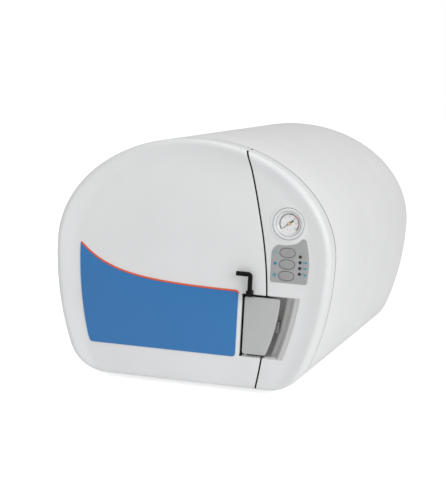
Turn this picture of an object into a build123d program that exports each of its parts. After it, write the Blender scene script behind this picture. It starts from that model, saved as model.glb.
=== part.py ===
"""Benchtop steam autoclave, in millimetres: +X to the right, +Y to the back, +Z up.

The origin is on the surface that the feet stand on, under the middle of the whole. Inside this file y = 0 is the
crest of the front rim, and write() moves each piece so that the origin comes out in the middle of the depth.
"""

from build123d import *
import math
import os

# ---- Cabinet: a D-shaped section, drawn as two half ellipses over a flat base -----------------------------------
BODY_WIDTH = 400.0
WAIST_RISE = 184.0  # base to the widest height
TOP_RISE = 158.5  # widest height to the top
LOWER_AXIS = 293.0  # vertical half axis of the sides below the widest height
CORNER_R = 59.0  # round between side and base
BODY_DEPTH = 634.0  # rim crest to the shell's back edge
FOOT_HEIGHT = 8.0
FOOT_R = 12.0
FOOT_STEM_R = 4.0
FOOT_X = 108.0
FOOT_FROM_END = 110.0  # foot centre to the cabinet's end
SHELL_T = 1.2
LIP_FROM_MIDDLE = 94.0  # half the open width under the shell
BASE_T = 2.0
BACK_T = 1.5
BACK_INSET = 6.0  # back panel's outer face inside the shell's back edge
FIT = 0.3  # gap between pieces that are assembled by hand

# ---- Front: door cover on the left, fixed fascia on the right of a curved seam ----------------------------------
FRONT_DEPTH = 34.0
FRONT_ROUND = 12.0
COVER_T = 3.0
SEAM_GAP = 1.5
FACE_DEPTH = 4.5  # the face lies this far behind the rim's crest
CREST_INSET = 14.5
FACE_INSET_SIDE = 35.0
FACE_INSET_TOP = 23.0
SEAM_R = 571.0
FASCIA_WIDTH = 87.6  # at the seam's furthest point to the right
SEAM_Z_DROP = 77.3  # that point below the widest height

# ---- Chamber ----------------------------------------------------------------------------------------------------
CHAMBER_R = 110.0
CHAMBER_BEHIND = 84.0  # room for pipes between the vessel's end and the back panel
CHAMBER_WALL = 2.5
CHAMBER_END_T = 4.0
CHAMBER_X = -24.0
CHAMBER_BELOW_WAIST = 8.0
FLANGE_W = 20.0
FLANGE_T = 10.0
FLANGE_FROM_SEAM = 10.0  # flange's front face behind the front's back edge
FLANGE_BOLTS = 8
FLANGE_BOLT_R = 3.0
BULKHEAD_T = 2.5
HEATER_T = 4.0
HEATER_W = 90.0
BLANKET_T = 18.0
STRAP_T = 0.8
STRAP_W = 16.0
SADDLE_T = 3.0
SADDLE_WIDTH = 170.0
SADDLE_FOOT = 20.0
PORT_R = 6.0

# ---- Trays and their rack ---------------------------------------------------------------------------------------
TRAY_SIDE_ROOM = 35.0  # bore's radius less half a tray's width
TRAY_END_ROOM = 33.0  # chamber's depth beyond the tray at each end
TRAY_HEIGHT = 16.0
TRAY_T = 1.0
TRAY_PITCH = 44.0
TRAY_HOLE_R = 4.0
RACK_T = 1.5
LEDGE_W = 7.0

# ---- Door mechanism ---------------------------------------------------------------------------------------------
HINGE_FROM_SIDE = 14.0
HINGE_DEPTH = 14.0
HINGE_PIN_R = 4.0
KNUCKLE_R = 7.0
HINGE_ARM_H = 16.0
HINGE_KNUCKLE_H = 37.0
HINGE_BELOW_WAIST = 11.0
HINGE_REACH = 28.0
HINGE_ARM_T = 5.0
RUNNING = 0.05  # radial clearance of a shaft in its bore
BRIDGE_Y = 18.0
BRIDGE_T = 8.0
BRIDGE_H = 34.0
BRIDGE_PAST_AXIS = 96.0
PLATE_PAST_BORE = 15.0
PLATE_Y = 30.0
PLATE_T = 8.0
GASKET_PAST_BORE = 2.5
GASKET_W = 9.5
GASKET_GROOVE = 3.0
BOLT_R = 8.0
LINER_Y = 31.0
LINER_T = 2.0
SCREW_R = 2.0

# ---- Handle pocket, paddle and lock lever -----------------------------------------------------------------------
POCKET_LEFT_IN = 123.0  # pocket's left edge to the cabinet's right side
POCKET_TOP_DROP = 51.0  # below the widest height
POCKET_H = 88.0
POCKET_W_TOP = 81.5
POCKET_W_BOTTOM = 61.5
POCKET_FLOOR = 20.0
POCKET_T = 2.0
SCOOP_BACK = 31.0
PADDLE_GAP = 3.6
PADDLE_W_TOP = 50.5
PADDLE_W_BOTTOM = 33.0
PADDLE_T = 4.0
PADDLE_SET_BACK = 0.5
PADDLE_PIVOT_R = 2.5
PADDLE_KNUCKLE_R = 4.0
HOOK_GAP = 0.6  # between the paddle's hook and the striker
LEVER_R = 3.5
LEVER_RISE = 25.7
LEVER_ARM = 19.0
LEVER_OFF_FACE = 7.5  # lever's centreline in front of the face
LEVER_FROM_POCKET = 12.0
LEVER_SPINDLE_R = 2.5
LEVER_BUSH_W = 9.0
LEVER_BUSH_H = 8.0

# ---- Blue panel and its stripe ----------------------------------------------------------------------------------
PANEL_T = 0.8
PANEL_BOTTOM_DROP = 143.0
PANEL_TOP_DROP = 49.7
PANEL_RISE = 49.5
PANEL_DECAY = 51.0
PANEL_TO_POCKET = 5.4
PANEL_IN_FACE = 1.0
PANEL_CORNER_R = 4.5
STRIPE_W = 2.5
STRIPE_GAP = 0.1

# ---- Controls, placed from the right side and from the widest height --------------------------------------------
GAUGE_IN = 63.0
GAUGE_RISE = 51.0
GAUGE_R = 21.8
GAUGE_INNER_R = 18.0
GAUGE_FRONT = 2.5
GAUGE_DEPTH = 30.0
GAUGE_BOSS_R = 25.0
DIAL_SET_BACK = 6.5
NEEDLE_LENGTH = 12.5
NEEDLE_TAIL = 7.0
NEEDLE_POST_R = 1.0
NEEDLE_REST = 219.0
KEY_IN = 62.0
KEY_W = 20.6
KEY_H = 13.6
KEY_PITCH = 16.0
KEY_DROP = 4.9
KEY_PROUD = 1.5
KEY_DEPTH = 6.0
KEY_TRAVEL = 1.5
KEY_GAP = 0.4
LED_IN = 43.8
LED_R = 2.0
LED_PITCH = 7.9
OVERLAY_T = 0.6
BOARD_T = 1.6
BOARD_Y = 17.0
BOARD_W = 46.0
BOARD_H = 58.0
SWITCH_SIZE = 6.0

# ---- Back of the cabinet ----------------------------------------------------------------------------------------
NOZZLE_X = 35.0
NOZZLE_Z = 42.0
NOZZLE_R = 5.0
NOZZLE_LENGTH = 22.0
NOZZLE_NECK_R = 6.5
NOZZLE_SHOULDER = 2.0  # neck's front face outside the back panel
PIPE_R = 4.0
PIPE_BEND = 12.0
PIPE_RUN = 34.0
CAPILLARY_R = 1.6
VALVE_W = 28.0
COIL_R = 13.0
COIL_H = 30.0
RELIEF_RISE = 60.0
RELIEF_R = 12.0
RELIEF_CAP_R = 8.0
RELIEF_STEM_R = 2.0
RELIEF_STEM_OUT = 3.5
RELIEF_RING_R = 7.0
RELIEF_RING_WIRE_R = 1.1
RELIEF_CAP_OUT = 8.0
INLET_X = 118.0
INLET_Z = 62.0
INLET_W = 28.0
INLET_H = 20.0
INLET_FLANGE_W = 50.0
ROCKER_W = 14.0
ROCKER_H = 22.0
ROCKER_RISE = 40.0
ROCKER_ANGLE = 12.0
FUSE_R = 6.5
FUSE_X = 72.0
LOUVRE_W = 60.0
LOUVRE_H = 4.0
LOUVRE_ROWS = 7

# ---- Places worked out from the sizes above ---------------------------------------------------------------------
HALF_WIDTH = BODY_WIDTH / 2
BASE_Z = FOOT_HEIGHT
WAIST_Z = BASE_Z + WAIST_RISE
SHELL_Y = FRONT_DEPTH + SEAM_GAP
BACK_Y = BODY_DEPTH - BACK_INSET
SEAM_CENTRE = (HALF_WIDTH - FASCIA_WIDTH - SEAM_R, WAIST_Z - SEAM_Z_DROP)
CHAMBER_Z = WAIST_Z - CHAMBER_BELOW_WAIST
FLANGE_Y = FRONT_DEPTH + FLANGE_FROM_SEAM
PLATE_R = CHAMBER_R + PLATE_PAST_BORE
GASKET_IN_R = CHAMBER_R + GASKET_PAST_BORE
GASKET_OUT_R = GASKET_IN_R + GASKET_W
BULKHEAD_Y = FLANGE_Y + FLANGE_T
VESSEL_END = BACK_Y - CHAMBER_BEHIND
CHAMBER_DEPTH = VESSEL_END - CHAMBER_END_T - FLANGE_Y
VESSEL_R = CHAMBER_R + CHAMBER_WALL
TRAY_WIDTH = 2 * (CHAMBER_R - TRAY_SIDE_ROOM)
TRAY_LENGTH = CHAMBER_DEPTH - 2 * TRAY_END_ROOM
HEATER_R = VESSEL_R + FIT + HEATER_T
BLANKET_R = HEATER_R + FIT + BLANKET_T
HINGE_X = HINGE_FROM_SIDE - HALF_WIDTH
HINGE_Z = WAIST_Z - HINGE_BELOW_WAIST
POCKET_X = HALF_WIDTH - POCKET_LEFT_IN
POCKET_TOP = WAIST_Z - POCKET_TOP_DROP
POCKET_BOTTOM = POCKET_TOP - POCKET_H
PADDLE_X = POCKET_X + PADDLE_GAP
PADDLE_TOP = POCKET_TOP - PADDLE_GAP
PADDLE_BOTTOM = POCKET_BOTTOM + PADDLE_GAP
PADDLE_Y = FACE_DEPTH + PADDLE_SET_BACK
PIVOT_X = PADDLE_X + PADDLE_KNUCKLE_R
PIVOT_Y = PADDLE_Y + PADDLE_T + PADDLE_KNUCKLE_R / 2
LEVER_X = POCKET_X + LEVER_FROM_POCKET
LEVER_Y = FACE_DEPTH - LEVER_OFF_FACE
GAUGE_X = HALF_WIDTH - GAUGE_IN
GAUGE_Z = WAIST_Z + GAUGE_RISE
DIAL_Y = GAUGE_FRONT + DIAL_SET_BACK
KEY_X = HALF_WIDTH - KEY_IN
KEY_Z = WAIST_Z - KEY_DROP
KEY_BACK = FACE_DEPTH + KEY_DEPTH
LED_X = HALF_WIDTH - LED_IN
BASE_TOP = BASE_Z + SHELL_T + BASE_T
RELIEF_Z = CHAMBER_Z + RELIEF_RISE
RELIEF_CAP_END = BACK_Y + RELIEF_CAP_OUT
RING_Y = RELIEF_CAP_END + RELIEF_STEM_OUT + RELIEF_RING_R
FRONT_MOST = LEVER_Y - LEVER_BUSH_W / 2
BACK_MOST = RING_Y + RELIEF_RING_R + RELIEF_RING_WIRE_R
MIDDLE_Y = (FRONT_MOST + BACK_MOST) / 2


# ---- Helpers ----------------------------------------------------------------------------------------------------
def front_plane(y):
    """A drawing plane seen from the front, with X to the right and Z up, at depth y."""
    return Plane(origin=(0, y, 0), x_dir=(1, 0, 0), z_dir=(0, -1, 0))


def slab(shape, y_front, y_back):
    """A flat shape drawn in X and Z, made solid from y_front back to y_back."""
    return extrude(front_plane(y_front) * shape, amount=y_back - y_front, dir=(0, 1, 0))


def box(x0, x1, y0, y1, z0, z1):
    """A box between two corners."""
    return Pos((x0 + x1) / 2, (y0 + y1) / 2, (z0 + z1) / 2) * Box(x1 - x0, y1 - y0, z1 - z0)


def rod_y(x, z, r, y0, y1):
    """A round bar along Y."""
    return slab(Pos(x, z) * Circle(r), y0, y1)


def rod_z(x, y, r, z0, z1):
    """A round bar along Z."""
    return Pos(x, y, (z0 + z1) / 2) * Cylinder(r, z1 - z0)


def rod_x(y, z, r, x0, x1):
    """A round bar along X."""
    return Pos((x0 + x1) / 2, y, z) * Rot(0, 90, 0) * Cylinder(r, x1 - x0)


def ring_y(x, z, r_in, r_out, y0, y1):
    """A round ring about an axis along Y."""
    return rod_y(x, z, r_out, y0, y1) - rod_y(x, z, r_in, y0 - 1, y1 + 1)


def pipe(points, radius, bend):
    """A round pipe through the points, with an arc of radius bend at each corner."""
    path = FilletPolyline(*points, radius=bend)
    return sweep(Plane(origin=path @ 0, z_dir=path % 0) * Circle(radius), path=path)


def side_angle(half, low, floor, r):
    """Where a corner round of radius r, standing on the floor line, meets the lower ellipse: the ellipse's angle."""
    near, far = 0.0, math.pi / 2
    for _ in range(60):
        t = (near + far) / 2
        length = math.hypot(math.cos(t) / half, math.sin(t) / low)
        centre_z = -low * math.sin(t) + r * (math.sin(t) / low) / length
        if centre_z > floor + r:
            near = t
        else:
            far = t
    return near


def outline(inset=0.0):
    """The cabinet's D-shaped section, pulled in by inset all round."""
    half = HALF_WIDTH - inset
    top = TOP_RISE - inset
    low = LOWER_AXIS - inset
    floor = inset - WAIST_RISE
    r = CORNER_R - inset
    t = side_angle(half, low, floor, r)
    length = math.hypot(math.cos(t) / half, math.sin(t) / low)
    nx, nz = math.cos(t) / half / length, -math.sin(t) / low / length
    px, pz = half * math.cos(t), -low * math.sin(t)
    cx, cz = px - r * nx, pz - r * nz
    turn = (math.atan2(nz, nx) - math.pi / 2) / 2
    mx, mz = cx + r * math.cos(turn), cz + r * math.sin(turn)
    degrees = math.degrees(t)
    edges = [
        EllipticalCenterArc((0, 0), half, top, start_angle=0, arc_size=180),
        EllipticalCenterArc((0, 0), half, low, start_angle=180, arc_size=degrees),
        ThreePointArc((-px, pz), (-mx, mz), (-cx, floor)),
        Line((-cx, floor), (cx, floor)),
        ThreePointArc((cx, floor), (mx, mz), (px, pz)),
        EllipticalCenterArc((0, 0), half, low, start_angle=-degrees, arc_size=degrees),
    ]
    return Pos(0, WAIST_Z) * make_face(edges)


def face_outline(side_inset, top_inset, below=20.0):
    """The flat face's outline, which runs out through the base."""
    half = HALF_WIDTH - side_inset
    top = TOP_RISE - top_inset
    floor = -WAIST_RISE - below
    degrees = math.degrees(math.asin(-floor / LOWER_AXIS))
    x = half * math.cos(math.radians(degrees))
    edges = [
        EllipticalCenterArc((0, 0), half, top, start_angle=0, arc_size=180),
        EllipticalCenterArc((0, 0), half, LOWER_AXIS, start_angle=180, arc_size=degrees),
        Line((-x, floor), (x, floor)),
        EllipticalCenterArc((0, 0), half, LOWER_AXIS, start_angle=-degrees, arc_size=degrees),
    ]
    return Pos(0, WAIST_Z) * make_face(edges)


def recess(grow):
    """The shallow space in front of the face, inside the rim. grow makes it larger, to leave the wall's thickness."""
    crest = face_outline(CREST_INSET - grow, CREST_INSET - grow)
    flat = face_outline(FACE_INSET_SIDE - grow, FACE_INSET_TOP - grow)
    slope = loft([front_plane(grow) * crest, front_plane(FACE_DEPTH + grow) * flat], ruled=True)
    return slope + slab(crest, -5, grow)


def front_block():
    """The whole front as one solid block with its rounded edge and recessed face."""
    block = slab(outline(), 0, FRONT_DEPTH)
    block = fillet(block.faces().sort_by(Axis.Y)[0].edges(), FRONT_ROUND)
    return block - recess(0)


def front_hollow():
    """The space behind the front's wall."""
    hollow = slab(outline(COVER_T), COVER_T, FRONT_DEPTH + 1)
    hollow = fillet(hollow.faces().sort_by(Axis.Y)[0].edges(), FRONT_ROUND - COVER_T)
    return hollow - recess(COVER_T)


def seam_disc(radius_change, y0=-20.0, y1=FRONT_DEPTH + 10):
    """Everything on the door's side of the curved seam, as a large disc."""
    return slab(Pos(*SEAM_CENTRE) * Circle(SEAM_R + radius_change), y0, y1)


def pocket_face(grow=0.0):
    """The handle pocket's outline, with its curved right edge."""
    left, top, bottom = POCKET_X - grow, POCKET_TOP + grow, POCKET_BOTTOM - grow
    right_top = POCKET_X + POCKET_W_TOP + grow
    right_bottom = POCKET_X + POCKET_W_BOTTOM + grow
    middle = (right_top * 0.62 + right_bottom * 0.38, (top + bottom) / 2)
    edges = [
        Line((left, bottom), (left, top)),
        Line((left, top), (right_top, top)),
        ThreePointArc((right_top, top), middle, (right_bottom, bottom)),
        Line((right_bottom, bottom), (left, bottom)),
    ]
    return make_face(edges)


# ---- Cabinet ----------------------------------------------------------------------------------------------------
def outer_shell():
    """The painted sheet wrapped round the cabinet, with its two lips folded in under the base."""
    ring = slab(outline() - outline(SHELL_T), SHELL_Y, BODY_DEPTH)
    front, back = BULKHEAD_Y + BULKHEAD_T, BACK_Y - BACK_T
    middle = box(-LIP_FROM_MIDDLE, LIP_FROM_MIDDLE, front, back, BASE_Z - 1, BASE_Z + SHELL_T + 1)
    return ring - middle - foot_holes(BASE_Z - 1)


def foot_places():
    """The feet's centres."""
    return [(x, y) for x in (-FOOT_X, FOOT_X) for y in (FOOT_FROM_END, BODY_DEPTH - FOOT_FROM_END)]


def foot_holes(z):
    """Holes for the feet's stems, from height z up through the base plate."""
    return Compound([rod_z(x, y, FOOT_STEM_R + RUNNING, z, BASE_TOP + 1) for x, y in foot_places()])


def base_plate():
    """The steel plate that lies on the shell's lips and carries the chamber."""
    half = FOOT_X + 2 * FOOT_STEM_R
    plate = box(-half, half, BULKHEAD_Y + BULKHEAD_T, BACK_Y - BACK_T, BASE_Z + SHELL_T, BASE_TOP)
    return plate - foot_holes(BASE_Z)


def rubber_feet():
    """Push-in feet, each with a stem through the lip and the plate and a barb above it."""
    feet = []
    for x, y in foot_places():
        foot = rod_z(x, y, FOOT_R, 0, BASE_Z)
        foot = chamfer(foot.edges().group_by(Axis.Z)[0], 1.0)
        stem = rod_z(x, y, FOOT_STEM_R, BASE_Z, BASE_TOP)
        feet.append(foot + stem + rod_z(x, y, FOOT_STEM_R + 1, BASE_TOP, BASE_TOP + 3))
    return feet


def front_bulkhead():
    """The steel plate inside the shell that carries the flange, the hinge and the fascia."""
    plate = slab(outline(SHELL_T + FIT), BULKHEAD_Y, BULKHEAD_Y + BULKHEAD_T)
    plate -= rod_y(CHAMBER_X, CHAMBER_Z, VESSEL_R + FIT, BULKHEAD_Y - 1, BULKHEAD_Y + BULKHEAD_T + 1)
    plate -= rod_y(GAUGE_X, GAUGE_Z, CAPILLARY_R + 2, BULKHEAD_Y - 1, BULKHEAD_Y + BULKHEAD_T + 1)
    for x, z in flange_bolt_places():
        plate -= rod_y(x, z, FLANGE_BOLT_R + FIT, BULKHEAD_Y - 1, BULKHEAD_Y + BULKHEAD_T + 1)
    return plate


def back_panel():
    """The flat back, with louvres, and openings for the inlet, switch, fuses, outlet and relief valve."""
    front, back = BACK_Y - BACK_T, BACK_Y
    panel = slab(outline(SHELL_T + FIT), front, back)
    for side in (-1, 1):
        for row in range(LOUVRE_ROWS):
            z = WAIST_Z + 2 * LOUVRE_H * (row - LOUVRE_ROWS / 2)
            x = side * (LOUVRE_W + 40) + CHAMBER_X
            panel -= box(x - LOUVRE_W / 2, x + LOUVRE_W / 2, front - 1, back + 1, z, z + LOUVRE_H)
    panel -= rod_y(CHAMBER_X, RELIEF_Z, RELIEF_CAP_R + FIT, front - 1, back + 1)
    panel -= rod_y(NOZZLE_X, NOZZLE_Z, NOZZLE_NECK_R + FIT, front - 1, back + 1)
    panel -= box(INLET_X - INLET_W / 2 - FIT, INLET_X + INLET_W / 2 + FIT, front - 1, back + 1,
                 INLET_Z - INLET_H / 2 - FIT, INLET_Z + INLET_H / 2 + FIT)
    for z in fuse_heights():
        panel -= rod_y(FUSE_X, z, FUSE_R + FIT, front - 1, back + 1)
    rocker_z = INLET_Z + ROCKER_RISE
    panel -= box(INLET_X - ROCKER_W / 2 - 1, INLET_X + ROCKER_W / 2 + 1, front - 1, back + 1,
                 rocker_z - ROCKER_H / 2 - 1, rocker_z + ROCKER_H / 2 + 1)
    for x, z in back_screw_places():
        panel -= rod_y(x, z, SCREW_R + FIT, front - 1, back + 1)
    return panel


def back_screw_places():
    """Screws round the back panel, a little inside its edge."""
    inset = 12.0
    half, top, low = HALF_WIDTH - inset, TOP_RISE - inset, LOWER_AXIS - inset
    places = []
    for degrees in (15, 55, 90, 125, 165):
        a = math.radians(degrees)
        places.append((half * math.cos(a), WAIST_Z + top * math.sin(a)))
    for side in (-1, 1):
        places.append((side * half * math.cos(math.radians(20)), WAIST_Z - low * math.sin(math.radians(20))))
        places.append((side * FOOT_X, BASE_TOP + inset))
    return places


def back_panel_screws():
    """Pan-head screws that hold the back panel."""
    screws = []
    for x, z in back_screw_places():
        head = rod_y(x, z, 2 * SCREW_R, BACK_Y, BACK_Y + 2)
        head = fillet(head.edges().sort_by(Axis.Y)[-1], 1.2)
        screws.append(head + rod_y(x, z, SCREW_R, BACK_Y - BACK_T - 6, BACK_Y))
    return screws


# ---- Chamber and what is round it -------------------------------------------------------------------------------
def flange_bolt_places():
    """The flange bolts' centres."""
    r = VESSEL_R + (FLANGE_W - CHAMBER_WALL) / 2
    step = 2 * math.pi / FLANGE_BOLTS
    turns = [step * (i + 0.5) for i in range(FLANGE_BOLTS)]
    return [(CHAMBER_X + r * math.cos(a), CHAMBER_Z + r * math.sin(a)) for a in turns]


def chamber_vessel():
    """The pressure vessel: a tube with a flat end, open at the flange."""
    tube = rod_y(CHAMBER_X, CHAMBER_Z, VESSEL_R, BULKHEAD_Y, VESSEL_END)
    tube = fillet(tube.edges().sort_by(Axis.Y)[-1], 3 * CHAMBER_END_T)
    inside = rod_y(CHAMBER_X, CHAMBER_Z, CHAMBER_R, BULKHEAD_Y - 1, VESSEL_END - CHAMBER_END_T)
    inside = fillet(inside.edges().sort_by(Axis.Y)[-1], 3 * CHAMBER_END_T - CHAMBER_WALL)
    return tube - inside


def chamber_flange():
    """The machined ring that the door gasket seals on."""
    ring = ring_y(CHAMBER_X, CHAMBER_Z, CHAMBER_R, CHAMBER_R + FLANGE_W, FLANGE_Y, BULKHEAD_Y)
    for x, z in flange_bolt_places():
        ring -= rod_y(x, z, FLANGE_BOLT_R + RUNNING, FLANGE_Y + FLANGE_T / 3, BULKHEAD_Y + 1)
    return ring


def flange_bolts():
    """Bolts from behind the bulkhead into the flange."""
    bolts = []
    back = BULKHEAD_Y + BULKHEAD_T
    for x, z in flange_bolt_places():
        head = slab(Pos(x, z) * RegularPolygon(1.8 * FLANGE_BOLT_R, 6), back, back + 4)
        bolts.append(head + rod_y(x, z, FLANGE_BOLT_R, FLANGE_Y + FLANGE_T / 3 + FIT, back))
    return bolts


def heater_bands():
    """Two band heaters clamped round the vessel, each with its clamp's gap and lugs at the bottom."""
    bands = []
    for y in (FLANGE_Y + 110, FLANGE_Y + 330):
        band = ring_y(CHAMBER_X, CHAMBER_Z, VESSEL_R + FIT, HEATER_R, y, y + HEATER_W)
        gap = box(CHAMBER_X - 3, CHAMBER_X + 3, y - 1, y + HEATER_W + 1, CHAMBER_Z - HEATER_R - 1, CHAMBER_Z)
        bands.append(band - gap)
    return bands


def insulation_blanket():
    """The fibre blanket round the vessel and its heaters."""
    return ring_y(CHAMBER_X, CHAMBER_Z, HEATER_R + FIT, BLANKET_R, BULKHEAD_Y + 12, VESSEL_END)


def insulation_straps():
    """Steel straps round the blanket, each with its buckle on top."""
    straps = []
    for part in (0.16, 0.5, 0.84):
        y = BULKHEAD_Y + part * CHAMBER_DEPTH
        inner, outer = BLANKET_R + FIT / 2, BLANKET_R + FIT / 2 + STRAP_T
        strap = ring_y(CHAMBER_X, CHAMBER_Z, inner, outer, y, y + STRAP_W)
        buckle = box(CHAMBER_X - 10, CHAMBER_X + 10, y - 1.5, y + STRAP_W + 1.5,
                     CHAMBER_Z + outer - 1, CHAMBER_Z + outer + 2)
        straps.append(strap + (buckle - rod_y(CHAMBER_X, CHAMBER_Z, inner, y - 5, y + STRAP_W + 5)))
    return straps


def saddle_fronts():
    """Depths of the two saddles' front faces."""
    return [BULKHEAD_Y + part * CHAMBER_DEPTH for part in (0.3, 0.7)]


def chamber_saddles():
    """Two plates on the base plate, each with a round seat under the blanket."""
    saddles = []
    for y in saddle_fronts():
        x0, x1 = CHAMBER_X - SADDLE_WIDTH / 2, CHAMBER_X + SADDLE_WIDTH / 2
        plate = box(x0, x1, y, y + SADDLE_T, BASE_TOP, CHAMBER_Z - 0.7 * BLANKET_R)
        foot = box(x0, x1, y, y + SADDLE_FOOT, BASE_TOP, BASE_TOP + SADDLE_T)
        saddles.append(plate + foot - rod_y(CHAMBER_X, CHAMBER_Z, BLANKET_R + FIT, y - 1, y + SADDLE_T + 1))
    return saddles


# ---- Trays ------------------------------------------------------------------------------------------------------
def tray_floors():
    """Heights of the undersides of the bottom, middle and top trays."""
    return [CHAMBER_Z + TRAY_PITCH * (i - 1) - TRAY_HEIGHT / 2 for i in range(3)]


def tray_front():
    """Where the trays and the rack begin."""
    return FLANGE_Y + TRAY_END_ROOM


def tray(z):
    """One perforated tray whose underside is at height z."""
    y0 = tray_front()
    half = TRAY_WIDTH / 2
    shape = box(-half, half, y0, y0 + TRAY_LENGTH, z, z + TRAY_HEIGHT)
    shape -= box(-half + TRAY_T, half - TRAY_T, y0 + TRAY_T, y0 + TRAY_LENGTH - TRAY_T, z + TRAY_T, z + 99)
    columns, rows = 4, 9
    holes = [
        rod_z(0.8 * TRAY_WIDTH * ((i + 0.5) / columns - 0.5), y0 + TRAY_LENGTH * (j + 0.5) / rows,
              TRAY_HOLE_R, z - 1, z + 2)
        for i in range(columns)
        for j in range(rows)
    ]
    return Pos(CHAMBER_X, 0, 0) * (shape - Compound(holes))


def tray_rack():
    """Two side sheets with ledges, tied across at both ends, standing on two runners on the vessel's floor."""
    y0, y1 = tray_front(), tray_front() + TRAY_LENGTH
    inner = TRAY_WIDTH / 2 + 1
    outer = inner + RACK_T
    low = tray_floors()[0] - CHAMBER_Z - 4
    high = tray_floors()[2] - CHAMBER_Z + TRAY_HEIGHT
    rack = None
    for side in (-1, 1):
        x_in, x_out = sorted((side * inner, side * outer))
        sheet = box(x_in, x_out, y0, y1, low, high)
        for z in tray_floors():
            ledge_in, ledge_out = sorted((side * (inner - LEDGE_W), side * outer))
            sheet += box(ledge_in, ledge_out, y0, y1, z - CHAMBER_Z - RACK_T, z - CHAMBER_Z)
        runner_x = 0.8 * TRAY_WIDTH / 2
        depth = math.sqrt((CHAMBER_R - FIT) ** 2 - (runner_x + RACK_T / 2) ** 2)
        r_in, r_out = sorted((side * (runner_x - RACK_T / 2), side * (runner_x + RACK_T / 2)))
        sheet += box(r_in, r_out, y0, y1, -depth, low + RACK_T)
        rack = sheet if rack is None else rack + sheet
    for y in (y0, y1 - 10):
        rack += box(-outer, outer, y, y + 10, low, low + RACK_T)
    rack += box(-outer, outer, y0, y0 + 8, high, high + RACK_T)
    rack += box(-outer, outer, y1, y1 + RACK_T, low, high)
    return Pos(CHAMBER_X, 0, CHAMBER_Z) * rack


# ---- Pipes, valves and electrics --------------------------------------------------------------------------------
def relief_valve():
    """The safety valve on the vessel's end, whose cap comes out through the back panel."""
    valve = rod_y(CHAMBER_X, RELIEF_Z, PORT_R, VESSEL_END, BACK_Y - 40)
    valve += slab(Pos(CHAMBER_X, RELIEF_Z) * RegularPolygon(RELIEF_R, 6), BACK_Y - 44, BACK_Y - 20)
    valve += rod_y(CHAMBER_X, RELIEF_Z, RELIEF_CAP_R, BACK_Y - 20, RELIEF_CAP_END)
    return valve - rod_y(CHAMBER_X, RELIEF_Z, RELIEF_STEM_R + RUNNING, BACK_Y - 18, RELIEF_CAP_END + 1)


def relief_ring():
    """The pull ring on the relief valve's stem."""
    stem = rod_y(CHAMBER_X, RELIEF_Z, RELIEF_STEM_R, BACK_Y - 12, RING_Y - RELIEF_RING_R)
    ring = Pos(CHAMBER_X, RING_Y, RELIEF_Z) * Rot(0, 90, 0) * Torus(RELIEF_RING_R, RELIEF_RING_WIRE_R)
    return stem + ring


def exhaust_points():
    """Where the exhaust pipe, its valve and the outlet lie."""
    y = VESSEL_END + PIPE_RUN
    port_z = CHAMBER_Z - 0.6 * CHAMBER_R
    return y, port_z


def exhaust_pipe():
    """Copper pipe from the vessel's low port to the valve, and from the valve to the outlet."""
    y, port_z = exhaust_points()
    valve_left = NOZZLE_X - 22 - VALVE_W
    first = pipe([(CHAMBER_X, VESSEL_END, port_z), (CHAMBER_X, y, port_z), (CHAMBER_X, y, NOZZLE_Z),
                  (valve_left, y, NOZZLE_Z)], PIPE_R, PIPE_BEND - 4)
    second = pipe([(valve_left + VALVE_W, y, NOZZLE_Z), (NOZZLE_X, y, NOZZLE_Z),
                   (NOZZLE_X, BACK_Y - 12, NOZZLE_Z)], PIPE_R, PIPE_BEND)
    return [first, second]


def exhaust_valve():
    """The brass body of the exhaust valve."""
    y, _ = exhaust_points()
    x0 = NOZZLE_X - 22 - VALVE_W
    body = box(x0, x0 + VALVE_W, y - 11, y + 11, NOZZLE_Z - 11, NOZZLE_Z + 11)
    return body + rod_z(x0 + VALVE_W / 2, y, 5, NOZZLE_Z + 10, NOZZLE_Z + 11 + COIL_H + 3)


def exhaust_coil():
    """The coil that sits over the valve's tube."""
    y, _ = exhaust_points()
    x = NOZZLE_X - 22 - VALVE_W / 2
    z = NOZZLE_Z + 11
    return rod_z(x, y, COIL_R, z, z + COIL_H) - rod_z(x, y, 5 + FIT, z - 1, z + COIL_H + 1)


def outlet_nozzle():
    """The hose nozzle on the back: a neck through the panel with a collar behind it, and the spout for the hose."""
    seat = BACK_Y + NOZZLE_SHOULDER
    nozzle = rod_y(NOZZLE_X, NOZZLE_Z, NOZZLE_R, seat - 1, seat + NOZZLE_LENGTH)
    nozzle += rod_y(NOZZLE_X, NOZZLE_Z, NOZZLE_NECK_R, BACK_Y - 6, seat)
    nozzle += rod_y(NOZZLE_X, NOZZLE_Z, 2 * NOZZLE_R, BACK_Y - 12, BACK_Y - BACK_T)
    return nozzle - rod_y(NOZZLE_X, NOZZLE_Z, NOZZLE_R - 2, BACK_Y - 6, seat + NOZZLE_LENGTH + 1)


def gauge_pipe():
    """Thin copper pipe from the vessel's end, forward past the blanket, to the back of the gauge."""
    port_x, y = CHAMBER_X + 0.4 * CHAMBER_R, VESSEL_END + 40
    port_z = CHAMBER_Z + 0.3 * CHAMBER_R
    points = [(port_x, VESSEL_END, port_z), (port_x, y, port_z), (GAUGE_X, y, GAUGE_Z),
              (GAUGE_X, GAUGE_FRONT + GAUGE_DEPTH, GAUGE_Z)]
    return pipe(points, CAPILLARY_R, PIPE_BEND)


def temperature_probe():
    """The probe screwed into the vessel's end."""
    x, z = CHAMBER_X - 0.5 * CHAMBER_R, CHAMBER_Z
    nut = slab(Pos(x, z) * RegularPolygon(9, 6), VESSEL_END, VESSEL_END + 8)
    return nut + rod_y(x, z, 3, VESSEL_END + 8, VESSEL_END + 34)


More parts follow.
